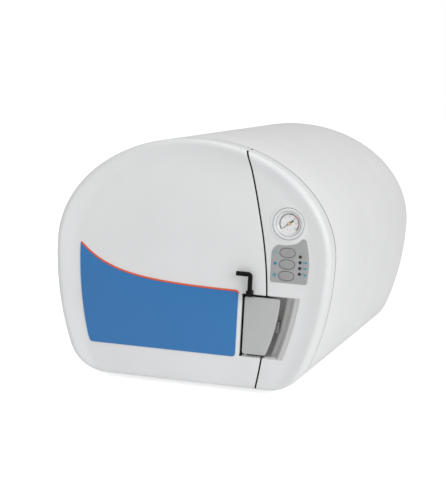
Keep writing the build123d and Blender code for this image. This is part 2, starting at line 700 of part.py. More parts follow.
def power_board():
    """The power board on four posts, with its relays and heat sink."""
    x0, x1 = 44.0, FOOT_X + 2
    y0 = saddle_fronts()[0] + SADDLE_FOOT + 10
    y1 = y0 + 130
    z = BASE_TOP + 8
    board = box(x0, x1, y0, y1, z, z + BOARD_T)
    for x in (x0 + 5, x1 - 5):
        for y in (y0 + 5, y1 - 5):
            board += rod_z(x, y, 3, BASE_TOP, z + 0.5)
    for i in range(3):
        board += box(x0 + 12, x0 + 28, y0 + 15 + 26 * i, y0 + 35 + 26 * i, z + 1, z + 16)
    return board + box(x1 - 22, x1 - 10, y0 + 12, y1 - 12, z + 1, z + 20)


def transformer():
    """The mains transformer: a core with its winding, and a mounting foot."""
    x0, y0, z = 52.0, saddle_fronts()[1] + SADDLE_FOOT + 16, BASE_TOP
    core = box(x0, x0 + 56, y0, y0 + 46, z, z + 46)
    winding = box(x0 + 12, x0 + 44, y0 - 9, y0 + 55, z + 7, z + 39)
    return core + winding + box(x0 - 6, x0 + 62, y0 + 8, y0 + 38, z, z + 2)


def power_inlet():
    """The mains inlet: a socket with three blades, and a flange outside the back panel."""
    x, z = INLET_X, INLET_Z
    body = box(x - INLET_W / 2, x + INLET_W / 2, BACK_Y - 26, BACK_Y + 2, z - INLET_H / 2, z + INLET_H / 2)
    flange = box(x - INLET_FLANGE_W / 2, x + INLET_FLANGE_W / 2, BACK_Y, BACK_Y + 2,
                 z - INLET_H / 2 - 2, z + INLET_H / 2 + 2)
    socket = box(x - INLET_W / 2 + 2, x + INLET_W / 2 - 2, BACK_Y - 14, BACK_Y + 3,
                 z - INLET_H / 2 + 2, z + INLET_H / 2 - 2)
    inlet = body + flange - socket
    for dx, dz in ((-7, -2), (0, 3), (7, -2)):
        inlet += box(x + dx - 1, x + dx + 1, BACK_Y - 15, BACK_Y - 1, z + dz - 2, z + dz + 2)
    return inlet


def fuse_heights():
    """Heights of the two fuse holders."""
    return [INLET_Z - 6, INLET_Z + 16]


def fuse_holders():
    """Two screw-cap fuse holders through the back panel."""
    holders = []
    for z in fuse_heights():
        cap = rod_y(FUSE_X, z, FUSE_R + 1.5, BACK_Y, BACK_Y + 5)
        cap -= box(FUSE_X - 5, FUSE_X + 5, BACK_Y + 3.5, BACK_Y + 6, z - 0.7, z + 0.7)
        holders.append(cap + rod_y(FUSE_X, z, FUSE_R, BACK_Y - 24, BACK_Y))
    return holders


def rocker_place():
    """The power rocker's pivot: height and depth."""
    return INLET_Z + ROCKER_RISE, BACK_Y - 4


def switch_body():
    """The frame that the power rocker tilts in, with its pivot pin."""
    z, pivot_y = rocker_place()
    half_w, half_h = ROCKER_W / 2, ROCKER_H / 2
    frame = box(INLET_X - half_w - 1 + FIT, INLET_X + half_w + 1 - FIT, BACK_Y - 20, BACK_Y,
                z - half_h - 1 + FIT, z + half_h + 1 - FIT)
    flange = box(INLET_X - half_w - 3, INLET_X + half_w + 3, BACK_Y, BACK_Y + 1.5, z - half_h - 3, z + half_h + 3)
    hole = box(INLET_X - half_w + 0.5, INLET_X + half_w - 0.5, BACK_Y - 14, BACK_Y + 3,
               z - half_h + 0.5, z + half_h - 0.5)
    return frame + flange - hole + rod_x(pivot_y, z, 1.5, INLET_X - half_w, INLET_X + half_w)


def power_rocker():
    """The rocker of the power switch, tilted to off, on its pivot pin."""
    z, pivot_y = rocker_place()
    half_w, half_h = ROCKER_W / 2 - 1, ROCKER_H / 2 - 1.5
    body = box(INLET_X - half_w, INLET_X + half_w, pivot_y - 3, pivot_y + 6, z - half_h, z + half_h)
    scoop = rod_x(pivot_y + 30.5, z, 26, INLET_X - half_w - 1, INLET_X + half_w + 1)
    body = body - scoop - rod_x(pivot_y, z, 1.5 + RUNNING, INLET_X - half_w - 1, INLET_X + half_w + 1)
    turn = Pos(0, pivot_y, z) * Rot(ROCKER_ANGLE / 2, 0, 0) * Pos(0, -pivot_y, -z)
    return turn * body


# ---- Fixed front: fascia, gauge and controls --------------------------------------------------------------------
def post_places():
    """Posts from the fascia back to the bulkhead."""
    return [(HALF_WIDTH - 92, WAIST_Z + 83), (HALF_WIDTH - 28, WAIST_Z - 40), (HALF_WIDTH - 50, BASE_Z + 24)]


def key_places():
    """Key centres from the top down."""
    return [(KEY_X, KEY_Z + KEY_PITCH * (1 - i)) for i in range(3)]


def led_places():
    """Lamp centres from the top down."""
    return [(LED_X, KEY_Z + LED_PITCH * (1.5 - i)) for i in range(4)]


def fascia():
    """The fixed right-hand part of the front, with its seam flange, gauge boss and openings."""
    block = front_block()
    wall = block - front_hollow() - seam_disc(SEAM_GAP / 2)
    flange = block & (seam_disc(SEAM_GAP / 2 + COVER_T) - seam_disc(SEAM_GAP / 2))
    shape = wall + flange
    shape += rod_y(GAUGE_X, GAUGE_Z, GAUGE_BOSS_R, GAUGE_FRONT + 0.5, FACE_DEPTH + COVER_T + 2)
    for x, z in post_places():
        shape += rod_y(x, z, 5, FACE_DEPTH + 0.5, BULKHEAD_Y)
    for x in (KEY_X - BOARD_W / 2 + 4, KEY_X + BOARD_W / 2 - 1):
        for z in (KEY_Z - BOARD_H / 2 + 4, KEY_Z + BOARD_H / 2 - 4):
            shape += rod_y(x, z, 3, FACE_DEPTH + 0.5, BOARD_Y)
    shape -= rod_y(GAUGE_X, GAUGE_Z, GAUGE_R + FIT, -1, FRONT_DEPTH)
    shape -= slab(overlay_face(), -1, FACE_DEPTH)
    shape -= slab(pocket_face(), -1, FACE_DEPTH + COVER_T)
    shape -= slab(pocket_face(POCKET_T + FIT), FACE_DEPTH + COVER_T, FRONT_DEPTH + 1)
    for x, z in key_places():
        shape -= slab(Pos(x, z) * Ellipse(KEY_W / 2 + KEY_GAP, KEY_H / 2 + KEY_GAP), -1, FRONT_DEPTH)
    for x, z in led_places():
        shape -= rod_y(x, z, LED_R + FIT, -1, FRONT_DEPTH)
    return shape


def recess_liner():
    """The fixed half of the handle pocket: a scooped hollow for the fingers."""
    block = slab(pocket_face(POCKET_T), FACE_DEPTH + COVER_T, SCOOP_BACK) - seam_disc(SEAM_GAP / 2)
    reach = POCKET_W_TOP - (SEAM_CENTRE[0] + SEAM_R - POCKET_X)
    scoop = Pos(SEAM_CENTRE[0] + SEAM_R, FACE_DEPTH, (POCKET_TOP + POCKET_BOTTOM) / 2) * extrude(
        Ellipse(reach, SCOOP_BACK - FACE_DEPTH - POCKET_T), amount=POCKET_H / 2, both=True)
    return block - (scoop & slab(pocket_face(), -1, SCOOP_BACK - POCKET_T)) - striker_leg(FIT / 2)


def overlay_face():
    """The key panel's wavy outline, which rises to the right of the gauge."""
    points = [(-22.5, -26.0), (29.5, -26.0), (31.5, 0.0), (30.2, 14.0), (24.0, 38.5), (13.0, 29.5), (-2.0, 26.0),
              (-16.0, 26.5), (-22.5, 17.0)]
    placed = [(KEY_X + x, KEY_Z + z) for x, z in points]
    return make_face(FilletPolyline(*placed, radius=3.2, close=True))


def control_overlay():
    """The thin grey panel round the keys and lamps."""
    face = overlay_face()
    for x, z in key_places():
        face -= Pos(x, z) * Ellipse(KEY_W / 2 + KEY_GAP, KEY_H / 2 + KEY_GAP)
    for x, z in led_places():
        face -= Pos(x, z) * Circle(LED_R + FIT)
    return slab(face, FACE_DEPTH - OVERLAY_T, FACE_DEPTH)


def key(index):
    """One oval key with a round stem behind it."""
    x, z = key_places()[index]
    cap = slab(Pos(x, z) * Ellipse(KEY_W / 2, KEY_H / 2), FACE_DEPTH - OVERLAY_T - KEY_PROUD, KEY_BACK)
    return fillet(cap.faces().sort_by(Axis.Y)[0].edges(), 0.8)


def led_lenses():
    """Four round lamps that come up through the panel."""
    lenses = []
    for x, z in led_places():
        lens = rod_y(x, z, LED_R, FACE_DEPTH - OVERLAY_T - 0.5, BOARD_Y)
        lenses.append(fillet(lens.edges().sort_by(Axis.Y)[0], 0.4))
    return lenses


def control_board():
    """The circuit board behind the keys."""
    x0 = KEY_X - BOARD_W / 2
    return box(x0, x0 + BOARD_W + 5, BOARD_Y, BOARD_Y + BOARD_T, KEY_Z - BOARD_H / 2, KEY_Z + BOARD_H / 2)


def key_switches():
    """One push switch behind each key, just clear of a pressed key."""
    front = KEY_BACK + KEY_TRAVEL + FIT
    half = SWITCH_SIZE / 2
    return [box(x - half, x + half, front + 1, BOARD_Y, z - half, z + half) + rod_y(x, z, 1.6, front, front + 1.5)
            for x, z in key_places()]


def gauge_case():
    """The pressure gauge's cup-shaped case and the stem for its pipe."""
    front, back = GAUGE_FRONT + 3, GAUGE_FRONT + GAUGE_DEPTH - 6
    case = rod_y(GAUGE_X, GAUGE_Z, GAUGE_R - 2, front, back)
    case -= rod_y(GAUGE_X, GAUGE_Z, GAUGE_INNER_R, front - 1, back - 2)
    return case + rod_y(GAUGE_X, GAUGE_Z, 5, back, GAUGE_FRONT + GAUGE_DEPTH)


def gauge_bezel():
    """The ring round the gauge's glass."""
    bezel = ring_y(GAUGE_X, GAUGE_Z, GAUGE_INNER_R - 0.5, GAUGE_R, GAUGE_FRONT, GAUGE_FRONT + 3)
    return fillet(bezel.edges().group_by(Axis.Y)[0], 0.8)


def gauge_glass():
    """The clear window in the bezel."""
    return rod_y(GAUGE_X, GAUGE_Z, GAUGE_INNER_R - 0.5 - RUNNING, GAUGE_FRONT + 1.2, GAUGE_FRONT + 2.7)


def gauge_dial():
    """The dial, with the post that the needle turns on."""
    dial = rod_y(GAUGE_X, GAUGE_Z, GAUGE_INNER_R - RUNNING, DIAL_Y, DIAL_Y + 0.8)
    return dial + rod_y(GAUGE_X, GAUGE_Z, NEEDLE_POST_R, DIAL_Y - 2.6, DIAL_Y)


def gauge_needle():
    """The needle at its zero, with a round hub."""
    blade = make_face(Polyline((-NEEDLE_TAIL, -0.9), (-NEEDLE_TAIL, 0.9), (NEEDLE_LENGTH, 0.3),
                               (NEEDLE_LENGTH, -0.3), close=True))
    flat = Pos(GAUGE_X, GAUGE_Z) * Rot(0, 0, NEEDLE_REST) * blade
    needle = slab(flat, DIAL_Y - 1.6, DIAL_Y - 1.1) + rod_y(GAUGE_X, GAUGE_Z, 2.2, DIAL_Y - 2.0, DIAL_Y - 0.7)
    return needle - rod_y(GAUGE_X, GAUGE_Z, NEEDLE_POST_R + RUNNING, 0, DIAL_Y)


def striker_leg(grow):
    """The striker's leg, which passes through a slot in the scoop."""
    x = hook_end() + HOOK_GAP + 4
    z = (POCKET_TOP + POCKET_BOTTOM) / 2
    return box(x - grow, x + 2 + grow, PIVOT_Y, SCOOP_BACK + 1, z - 8 - grow, z + 8 + grow)


def striker():
    """The latch plate beside the paddle's hook, with its leg through the scoop and a foot behind it."""
    x = hook_end() + HOOK_GAP
    z = (POCKET_TOP + POCKET_BOTTOM) / 2
    plate = box(x, x + 6, PIVOT_Y, PIVOT_Y + 2, z - 8, z + 8)
    return plate + striker_leg(0) + box(x + 4, x + 14, SCOOP_BACK + FIT, SCOOP_BACK + 2, z - 8, z + 8)


# ---- Hinge ------------------------------------------------------------------------------------------------------
def hinge_heights():
    """Bottom and top of the two fixed arms, below and above the door's knuckle."""
    half = HINGE_KNUCKLE_H / 2 + 0.4
    return [(HINGE_Z - half - HINGE_ARM_H, HINGE_Z - half), (HINGE_Z + half, HINGE_Z + half + HINGE_ARM_H)]


def hinge_bracket():
    """The fixed hinge: a plate on the bulkhead with two bent arms that reach forward and out to the pin."""
    x1 = HINGE_X + HINGE_REACH + HINGE_ARM_T / 2
    x0 = x1 - HINGE_ARM_T
    bottom, top = hinge_heights()[0][0], hinge_heights()[1][1]
    bracket = box(x0 - 14, x1, BULKHEAD_Y - 4, BULKHEAD_Y, bottom, top)
    half = HINGE_ARM_T / 2
    for z0, z1 in hinge_heights():
        bracket += box(x0, x1, HINGE_DEPTH - half, BULKHEAD_Y - 1, z0, z1)
        bracket += box(HINGE_X, x1, HINGE_DEPTH - half, HINGE_DEPTH + half, z0, z1)
        bracket += rod_z(HINGE_X, HINGE_DEPTH, KNUCKLE_R, z0, z1)
    return bracket - rod_z(HINGE_X, HINGE_DEPTH, HINGE_PIN_R + RUNNING, bottom - 1, top + 1)


def hinge_pin():
    """The hinge pin, with its head on top."""
    bottom, top = hinge_heights()[0][0], hinge_heights()[1][1]
    pin = rod_z(HINGE_X, HINGE_DEPTH, HINGE_PIN_R, bottom, top)
    return pin + rod_z(HINGE_X, HINGE_DEPTH, HINGE_PIN_R + 1.5, top, top + 2)


# ---- Door -------------------------------------------------------------------------------------------------------
def bridge_right():
    """The bridge's right end."""
    return CHAMBER_X + BRIDGE_PAST_AXIS


def cover_screw_places():
    """Screws that hold the cover's bosses to the bridge."""
    xs = (CHAMBER_X - BRIDGE_PAST_AXIS, bridge_right() - 10)
    return [(x, HINGE_Z + dz) for x in xs for dz in (-10, 10)]


def door_cover():
    """The moulded door cover: rim, face, seam flange, its half of the handle pocket and four bosses."""
    block = front_block()
    side = seam_disc(-SEAM_GAP / 2)
    flange = (block & side) - seam_disc(-SEAM_GAP / 2 - COVER_T)
    shape = ((block - front_hollow()) & side) + flange
    shape -= slab(pocket_face(), -1, FRONT_DEPTH + 1)
    tray = slab(pocket_face(POCKET_T), FACE_DEPTH + 1, POCKET_FLOOR + POCKET_T) - slab(pocket_face(), 0, POCKET_FLOOR)
    shape += tray & side
    for x, z in cover_screw_places():
        shape += rod_y(x, z, 5, FACE_DEPTH + 1, BRIDGE_Y) - rod_y(x, z, SCREW_R + RUNNING, BRIDGE_Y - 8, BRIDGE_Y + 1)
    pivot_bore = rod_z(PIVOT_X, PIVOT_Y, PADDLE_PIVOT_R + RUNNING, POCKET_BOTTOM - 1.5, POCKET_TOP + 1.5)
    bush = lever_bush_box(FIT)
    return shape - pivot_bore - (bush & box(-999, 999, FACE_DEPTH - 1, POCKET_FLOOR, 0, 999))


def panel_curve(x):
    """Height of the blue panel's sweeping top edge at x."""
    start = -(HALF_WIDTH - FACE_INSET_SIDE - PANEL_IN_FACE)
    return WAIST_Z - PANEL_TOP_DROP + PANEL_RISE * math.exp(-(x - start) / PANEL_DECAY)


def panel_curve_points(rise):
    """Points along the top edge, raised square to it by rise."""
    left = -(HALF_WIDTH - FACE_INSET_SIDE - PANEL_IN_FACE)
    right = POCKET_X - PANEL_TO_POCKET
    count = 9
    points = []
    for i in range(count + 1):
        x = left + (right - left) * (i / count) ** 1.4
        slope = (panel_curve(x + 0.5) - panel_curve(x - 0.5))
        length = math.hypot(1, slope)
        points.append((x - rise * slope / length, panel_curve(x) + rise / length))
    return points


def blue_panel():
    """The blue panel on the door's lower half, with its sweeping top edge."""
    top = panel_curve_points(0)
    bottom = WAIST_Z - PANEL_BOTTOM_DROP
    right = top[-1][0]
    low = Line((right, bottom), (top[0][0], bottom))
    edges = [Spline(*top), Line(top[-1], (right, bottom)), low, Line((top[0][0], bottom), top[0])]
    face = make_face(edges) & face_outline(FACE_INSET_SIDE + PANEL_IN_FACE, FACE_INSET_TOP)
    corners = [v for v in face.vertices() if abs(v.Y - bottom) < 0.1]
    return slab(fillet(corners, PANEL_CORNER_R), FACE_DEPTH - PANEL_T, FACE_DEPTH)


def accent_stripe():
    """The thin stripe along the blue panel's top edge."""
    low = panel_curve_points(STRIPE_GAP)
    high = panel_curve_points(STRIPE_GAP + STRIPE_W)
    edges = [Spline(*low), Line(low[-1], high[-1]), Spline(*high), Line(high[0], low[0])]
    return slab(make_face(edges), FACE_DEPTH - PANEL_T, FACE_DEPTH)


def door_liner():
    """The inner panel that closes the cover round the door plate, open beside the hinge."""
    face = outline(COVER_T + FIT) - Pos(CHAMBER_X, CHAMBER_Z) * Circle(PLATE_R + 3)
    liner = slab(face, LINER_Y, LINER_Y + LINER_T) & seam_disc(-SEAM_GAP / 2 - COVER_T - FIT)
    edge = HINGE_X + HINGE_REACH + 2 * HINGE_ARM_T
    liner -= box(-HALF_WIDTH - 1, edge, 0, 99, 0, 999)
    return liner.solids()


def door_bridge():
    """The steel bar from the hinge knuckle across the back of the cover, which carries the door plate."""
    half = BRIDGE_H / 2
    bar = box(HINGE_X, bridge_right(), BRIDGE_Y, BRIDGE_Y + BRIDGE_T, HINGE_Z - half, HINGE_Z + half)
    neck = box(HINGE_X - 4, HINGE_X + 6, HINGE_DEPTH, BRIDGE_Y + BRIDGE_T, HINGE_Z - half, HINGE_Z + half)
    knuckle = rod_z(HINGE_X, HINGE_DEPTH, KNUCKLE_R, HINGE_Z - HINGE_KNUCKLE_H / 2, HINGE_Z + HINGE_KNUCKLE_H / 2)
    bridge = bar + neck + knuckle
    bridge -= rod_z(HINGE_X, HINGE_DEPTH, HINGE_PIN_R + RUNNING, HINGE_Z - HINGE_KNUCKLE_H, HINGE_Z + HINGE_KNUCKLE_H)
    bridge -= rod_y(CHAMBER_X, CHAMBER_Z, BOLT_R + FIT, BRIDGE_Y - 1, BRIDGE_Y + BRIDGE_T + 1)
    for x, z in cover_screw_places():
        bridge -= rod_y(x, z, SCREW_R + FIT, BRIDGE_Y - 1, BRIDGE_Y + BRIDGE_T + 1)
    return bridge


def door_plate():
    """The round pressure plate with the gasket's groove in its back."""
    plate = rod_y(CHAMBER_X, CHAMBER_Z, PLATE_R, PLATE_Y, PLATE_Y + PLATE_T)
    plate = fillet(plate.edges().sort_by(Axis.Y)[0], 2)
    back = PLATE_Y + PLATE_T
    return plate - ring_y(CHAMBER_X, CHAMBER_Z, GASKET_IN_R, GASKET_OUT_R, back - GASKET_GROOVE, back + 1)


def door_gasket():
    """The silicone gasket in its groove, which meets the flange."""
    back = PLATE_Y + PLATE_T
    r_in, r_out = GASKET_IN_R + RUNNING, GASKET_OUT_R - RUNNING
    return ring_y(CHAMBER_X, CHAMBER_Z, r_in, r_out, back - GASKET_GROOVE, FLANGE_Y - FIT)


def centre_bolt():
    """The bolt through the bridge that the door plate floats on, with its collar."""
    bolt = rod_y(CHAMBER_X, CHAMBER_Z, BOLT_R, BRIDGE_Y, PLATE_Y)
    head = slab(Pos(CHAMBER_X, CHAMBER_Z) * RegularPolygon(1.6 * BOLT_R, 6), BRIDGE_Y - 6.5, BRIDGE_Y)
    collar = rod_y(CHAMBER_X, CHAMBER_Z, 2 * BOLT_R, BRIDGE_Y + BRIDGE_T + FIT, PLATE_Y)
    return bolt + head + collar


def cover_screws():
    """Screws from behind the bridge into the cover's bosses."""
    back = BRIDGE_Y + BRIDGE_T
    return [rod_y(x, z, SCREW_R, BRIDGE_Y - 7, back) + rod_y(x, z, 2 * SCREW_R, back, back + 2.2)
            for x, z in cover_screw_places()]


# ---- Handle and lock lever --------------------------------------------------------------------------------------
def hook_end():
    """The tip of the paddle's latch hook."""
    return SEAM_CENTRE[0] + SEAM_R + SEAM_GAP + 10


def handle_paddle():
    """The pull paddle: a plate with a curved right edge, a knuckle with two pivots, and the latch hook."""
    left, top, bottom = PADDLE_X, PADDLE_TOP, PADDLE_BOTTOM
    right_top, right_bottom = left + PADDLE_W_TOP, left + PADDLE_W_BOTTOM
    middle = (right_top * 0.62 + right_bottom * 0.38 + 1.5, (top + bottom) / 2)
    edges = [
        Line((left, bottom), (left, top)),
        Line((left, top), (right_top, top)),
        ThreePointArc((right_top, top), middle, (right_bottom, bottom)),
        Line((right_bottom, bottom), (left, bottom)),
    ]
    face = make_face(edges)
    face = fillet(face.vertices(), 2.2)
    plate = slab(face, PADDLE_Y, PADDLE_Y + PADDLE_T)
    knuckle = rod_z(PIVOT_X, PIVOT_Y, PADDLE_KNUCKLE_R, bottom + 2, top - 2)
    pivots = rod_z(PIVOT_X, PIVOT_Y, PADDLE_PIVOT_R, POCKET_BOTTOM - 1.2, POCKET_TOP + 1.2)
    z = (POCKET_TOP + POCKET_BOTTOM) / 2
    arm = box(hook_end() - 9, hook_end() - 6, PADDLE_Y + PADDLE_T - 1, PIVOT_Y + 5, z - 7, z + 7)
    nose = box(hook_end() - 9, hook_end(), PIVOT_Y + 2, PIVOT_Y + 5, z - 7, z + 7)
    return plate + knuckle + pivots + arm + nose


def lever_bush_box(grow):
    """The lock lever's bush, a block that comes forward out of the pocket's top edge."""
    half = LEVER_BUSH_W / 2 + grow
    bottom = POCKET_TOP - LEVER_BUSH_H / 4 - grow
    return box(LEVER_X - half, LEVER_X + half, LEVER_Y - LEVER_BUSH_W / 2, FACE_DEPTH + COVER_T + grow,
               bottom, bottom + LEVER_BUSH_H + 2 * grow)


def lever_bush():
    """The bush block with its bore for the lever's spindle."""
    block = lever_bush_box(0)
    bottom = POCKET_TOP - LEVER_BUSH_H / 4
    return block - rod_z(LEVER_X, LEVER_Y, LEVER_SPINDLE_R + RUNNING, bottom + 1, bottom + LEVER_BUSH_H + 1)


def lock_lever():
    """The bent lever: a spindle in the bush, an upright stem and a short arm to the left."""
    foot = POCKET_TOP - LEVER_BUSH_H / 4 + LEVER_BUSH_H + FIT
    top = foot + LEVER_RISE
    spindle = rod_z(LEVER_X, LEVER_Y, LEVER_SPINDLE_R, foot - LEVER_BUSH_H + 2, foot + 1)
    stem = rod_z(LEVER_X, LEVER_Y, LEVER_R, foot, top)
    arm = rod_x(LEVER_Y, top - LEVER_R, LEVER_R, LEVER_X - LEVER_ARM, LEVER_X)
    tip = Pos(LEVER_X - LEVER_ARM, LEVER_Y, top - LEVER_R) * Sphere(LEVER_R)
    return spindle + stem + arm + tip


# ---- Everything, by name ----------------------------------------------------------------------------------------
PIECES = {
    "outer_shell": outer_shell,
    "base_plate": base_plate,
    "rubber_feet": rubber_feet,
    "front_bulkhead": front_bulkhead,
    "back_panel": back_panel,
    "back_panel_screws": back_panel_screws,
    "chamber_vessel": chamber_vessel,
    "chamber_flange": chamber_flange,
    "flange_bolts": flange_bolts,
    "heater_bands": heater_bands,
    "insulation_blanket": insulation_blanket,
    "insulation_straps": insulation_straps,
    "chamber_saddles": chamber_saddles,
    "tray_rack": tray_rack,
    "tray_bottom": lambda: tray(tray_floors()[0]),
    "tray_middle": lambda: tray(tray_floors()[1]),
    "tray_top": lambda: tray(tray_floors()[2]),
    "relief_valve": relief_valve,
    "relief_ring": relief_ring,
    "exhaust_pipe": exhaust_pipe,
    "exhaust_valve": exhaust_valve,
    "exhaust_coil": exhaust_coil,
    "outlet_nozzle": outlet_nozzle,
    "gauge_pipe": gauge_pipe,
    "temperature_probe": temperature_probe,
    "power_board": power_board,
    "transformer": transformer,
    "power_inlet": power_inlet,
    "fuse_holders": fuse_holders,
    "switch_body": switch_body,
    "power_rocker": power_rocker,
    "fascia": fascia,
    "recess_liner": recess_liner,
    "control_overlay": control_overlay,
    "start_key": lambda: key(0),
    "dry_key": lambda: key(1),
    "stop_key": lambda: key(2),
    "led_lenses": led_lenses,
    "control_board": control_board,
    "key_switches": key_switches,
    "gauge_case": gauge_case,
    "gauge_bezel": gauge_bezel,
    "gauge_glass": gauge_glass,
    "gauge_dial": gauge_dial,
    "gauge_needle": gauge_needle,
    "striker": striker,
    "hinge_bracket": hinge_bracket,
    "hinge_pin": hinge_pin,
    "door_cover": door_cover,
    "blue_panel": blue_panel,
    "accent_stripe": accent_stripe,
    "door_liner": door_liner,
    "door_bridge": door_bridge,
    "door_plate": door_plate,
    "door_gasket": door_gasket,
    "centre_bolt": centre_bolt,
    "cover_screws": cover_screws,
    "handle_paddle": handle_paddle,
    "lever_bush": lever_bush,
    "lock_lever": lock_lever,
}


def write():
    """Builds each piece, centres it on the origin's depth and writes its file."""
    os.makedirs("parts", exist_ok=True)
    for name, make in PIECES.items():
        made = make()
        solids = made if isinstance(made, list) else made.solids()
        shape = Compound(children=[Pos(0, -MIDDLE_Y, 0) * s for s in solids])
        export_step(shape, f"parts/{name}.step")
    print("pieces", len(PIECES), "front", round(FRONT_MOST - MIDDLE_Y, 2), "back", round(BACK_MOST - MIDDLE_Y, 2))


write()
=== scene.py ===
# %% [markdown]
# # Benchtop autoclave
# A steam autoclave for instruments: a D-shaped painted cabinet, a hinged door whose cover is one soft moulding,
# and beside it a fixed fascia with a gauge, three keys, four lamps and the scoop for the fingers.
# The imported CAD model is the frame. Each cell below makes one visible piece round it, or one finish.

# %% Load the frame
import bpy
import bmesh
import math
import numpy as np
from mathutils import Matrix, Vector
from mathutils.geometry import delaunay_2d_cdt


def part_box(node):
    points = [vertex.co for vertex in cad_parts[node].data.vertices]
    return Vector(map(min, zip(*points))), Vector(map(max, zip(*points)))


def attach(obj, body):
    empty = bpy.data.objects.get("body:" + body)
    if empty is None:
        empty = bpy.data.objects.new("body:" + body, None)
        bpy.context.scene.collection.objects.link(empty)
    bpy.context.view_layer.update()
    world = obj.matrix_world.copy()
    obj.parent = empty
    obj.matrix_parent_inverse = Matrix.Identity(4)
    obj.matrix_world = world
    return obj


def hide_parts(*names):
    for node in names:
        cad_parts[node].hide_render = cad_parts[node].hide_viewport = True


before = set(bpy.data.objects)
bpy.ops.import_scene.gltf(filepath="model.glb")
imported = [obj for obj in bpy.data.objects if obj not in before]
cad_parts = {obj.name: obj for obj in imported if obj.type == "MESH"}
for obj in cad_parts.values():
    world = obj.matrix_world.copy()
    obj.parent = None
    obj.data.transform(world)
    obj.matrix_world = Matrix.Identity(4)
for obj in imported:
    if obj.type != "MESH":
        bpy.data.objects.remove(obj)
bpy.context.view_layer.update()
MM = 0.001

# %% [markdown]
# ## Where things are
# The maker's drawing counts depth from the crest of the front rim, to the back, so the same is done here: a depth of
# 0 mm is the crest. Every place comes from the box of a CAD node, and the numbers are sizes that a box can't tell.

# %% Places
def centre_of(node):
    """Middle of a node's box: x and z in millimetres."""
    low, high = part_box(node)
    return (low.x + high.x) / 2 / MM, (low.z + high.z) / 2 / MM


CREST_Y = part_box("door_cover")[0].y
SHELL_LOW, SHELL_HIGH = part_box("outer_shell")
HALF_WIDTH = SHELL_HIGH.x / MM
BASE_Z = SHELL_LOW.z / MM
TOP_Z = SHELL_HIGH.z / MM
SHELL_BACK = (SHELL_HIGH.y - CREST_Y) / MM
SHELL_FRONT = (SHELL_LOW.y - CREST_Y) / MM - 0.3
FRONT_BACK = SHELL_FRONT - 3.6  # a near-black ring fills the gap between the front and the shell: painted shade of the gap
WAIST_Z = 192.0
LOWER_AXIS = 293.0
CORNER_R = 59.0
FACE_DEPTH = 4.5
print("half width", round(HALF_WIDTH, 1), "top", round(TOP_Z, 1), "depth", round(SHELL_BACK, 1))


def place(x, depth, z):
    """A point from millimetres across, depth behind the crest, and height."""
    return Vector((x * MM, CREST_Y + depth * MM, z * MM))


def depth_of(y):
    """Depth behind the crest, in millimetres, of a place in metres."""
    return (y - CREST_Y) / MM


# %% [markdown]
# ## Curves that several pieces share
# The cabinet's section is two half ellipses on a flat base with round corners. A piece that follows it starts from
# this closed line of points, and a line pulled in from it gives rims, lips and panels. The corner rounds are solved
# once: the round has to touch both the lower ellipse and the floor.

# %% Outline of the cabinet
def corner_round():
    """Ellipse angle where the corner's round begins, and the round's centre, measured from the waist."""
    near, far = 0.0, math.pi / 2
    floor = BASE_Z - WAIST_Z
    for _ in range(60):
        t = (near + far) / 2
        nx, nz = math.cos(t) / HALF_WIDTH, -math.sin(t) / LOWER_AXIS
        length = math.hypot(nx, nz)
        centre = (HALF_WIDTH * math.cos(t) - CORNER_R * nx / length, -LOWER_AXIS * math.sin(t) - CORNER_R * nz / length)
        near, far = (t, far) if centre[1] > floor + CORNER_R else (near, t)
    return t, centre, math.atan2(nz, nx)


def arc(centre, a, b, start, stop, count):
    """Points on an ellipse's arc, from start to stop in radians, without the last one."""
    turns = np.linspace(start, stop, count, endpoint=False)
    return np.column_stack([centre[0] + a * np.cos(turns), centre[1] + b * np.sin(turns)])


def resample(points, count, closed=True):
    """The same line with count points at equal steps along it."""
    line = np.vstack([points, points[:1]]) if closed else points
    run = np.concatenate([[0], np.cumsum(np.hypot(*np.diff(line, axis=0).T))])
    steps = np.linspace(0, run[-1], count + 1)[:-1] if closed else np.linspace(0, run[-1], count)
    return np.column_stack([np.interp(steps, run, line[:, i]) for i in (0, 1)])


def cabinet_outline(count=480):
    """The cabinet's section as a closed line, counter-clockwise from the widest point on the right."""
    t, centre, turn = corner_round()
    rise = TOP_Z - WAIST_Z
    top = arc((0, 0), HALF_WIDTH, rise, 0, math.pi, 400)
    left = arc((0, 0), HALF_WIDTH, LOWER_AXIS, math.pi, math.pi + t, 100)
    left_round = arc((-centre[0], centre[1]), CORNER_R, CORNER_R, math.pi - turn, 1.5 * math.pi, 60)
    right_round = arc(centre, CORNER_R, CORNER_R, -math.pi / 2, turn, 60)
    right = arc((0, 0), HALF_WIDTH, LOWER_AXIS, -t, 0, 100)
    line = np.vstack([top, left, left_round, [[-centre[0], BASE_Z - WAIST_Z]], right_round, right])
    return resample(line, count) + (0, WAIST_Z)


def inward(points):
    """Unit normals that point into a counter-clockwise closed line."""
    along = np.roll(points, -1, axis=0) - np.roll(points, 1, axis=0)
    along /= np.hypot(*along.T)[:, None]
    return np.column_stack([-along[:, 1], along[:, 0]])


def pull_in(points, inset):
    """A closed line pulled in by inset, point by point."""
    return points + inward(points) * np.reshape(inset, (-1, 1))


def distance_to(points, line, closed=True):
    """Least distance from each point to a line."""
    ends = np.roll(line, -1, axis=0) if closed else line[1:]
    starts = line if closed else line[:-1]
    run = ends - starts
    length = (run ** 2).sum(1)
    best = np.full(len(points), 1e9)
    for part in range(0, len(points), 4000):
        gap = points[part:part + 4000, None] - starts
        along = np.clip((gap * run).sum(2) / length, 0, 1)
        best[part:part + 4000] = np.sqrt(((gap - along[..., None] * run) ** 2).sum(2).min(1))
    return best


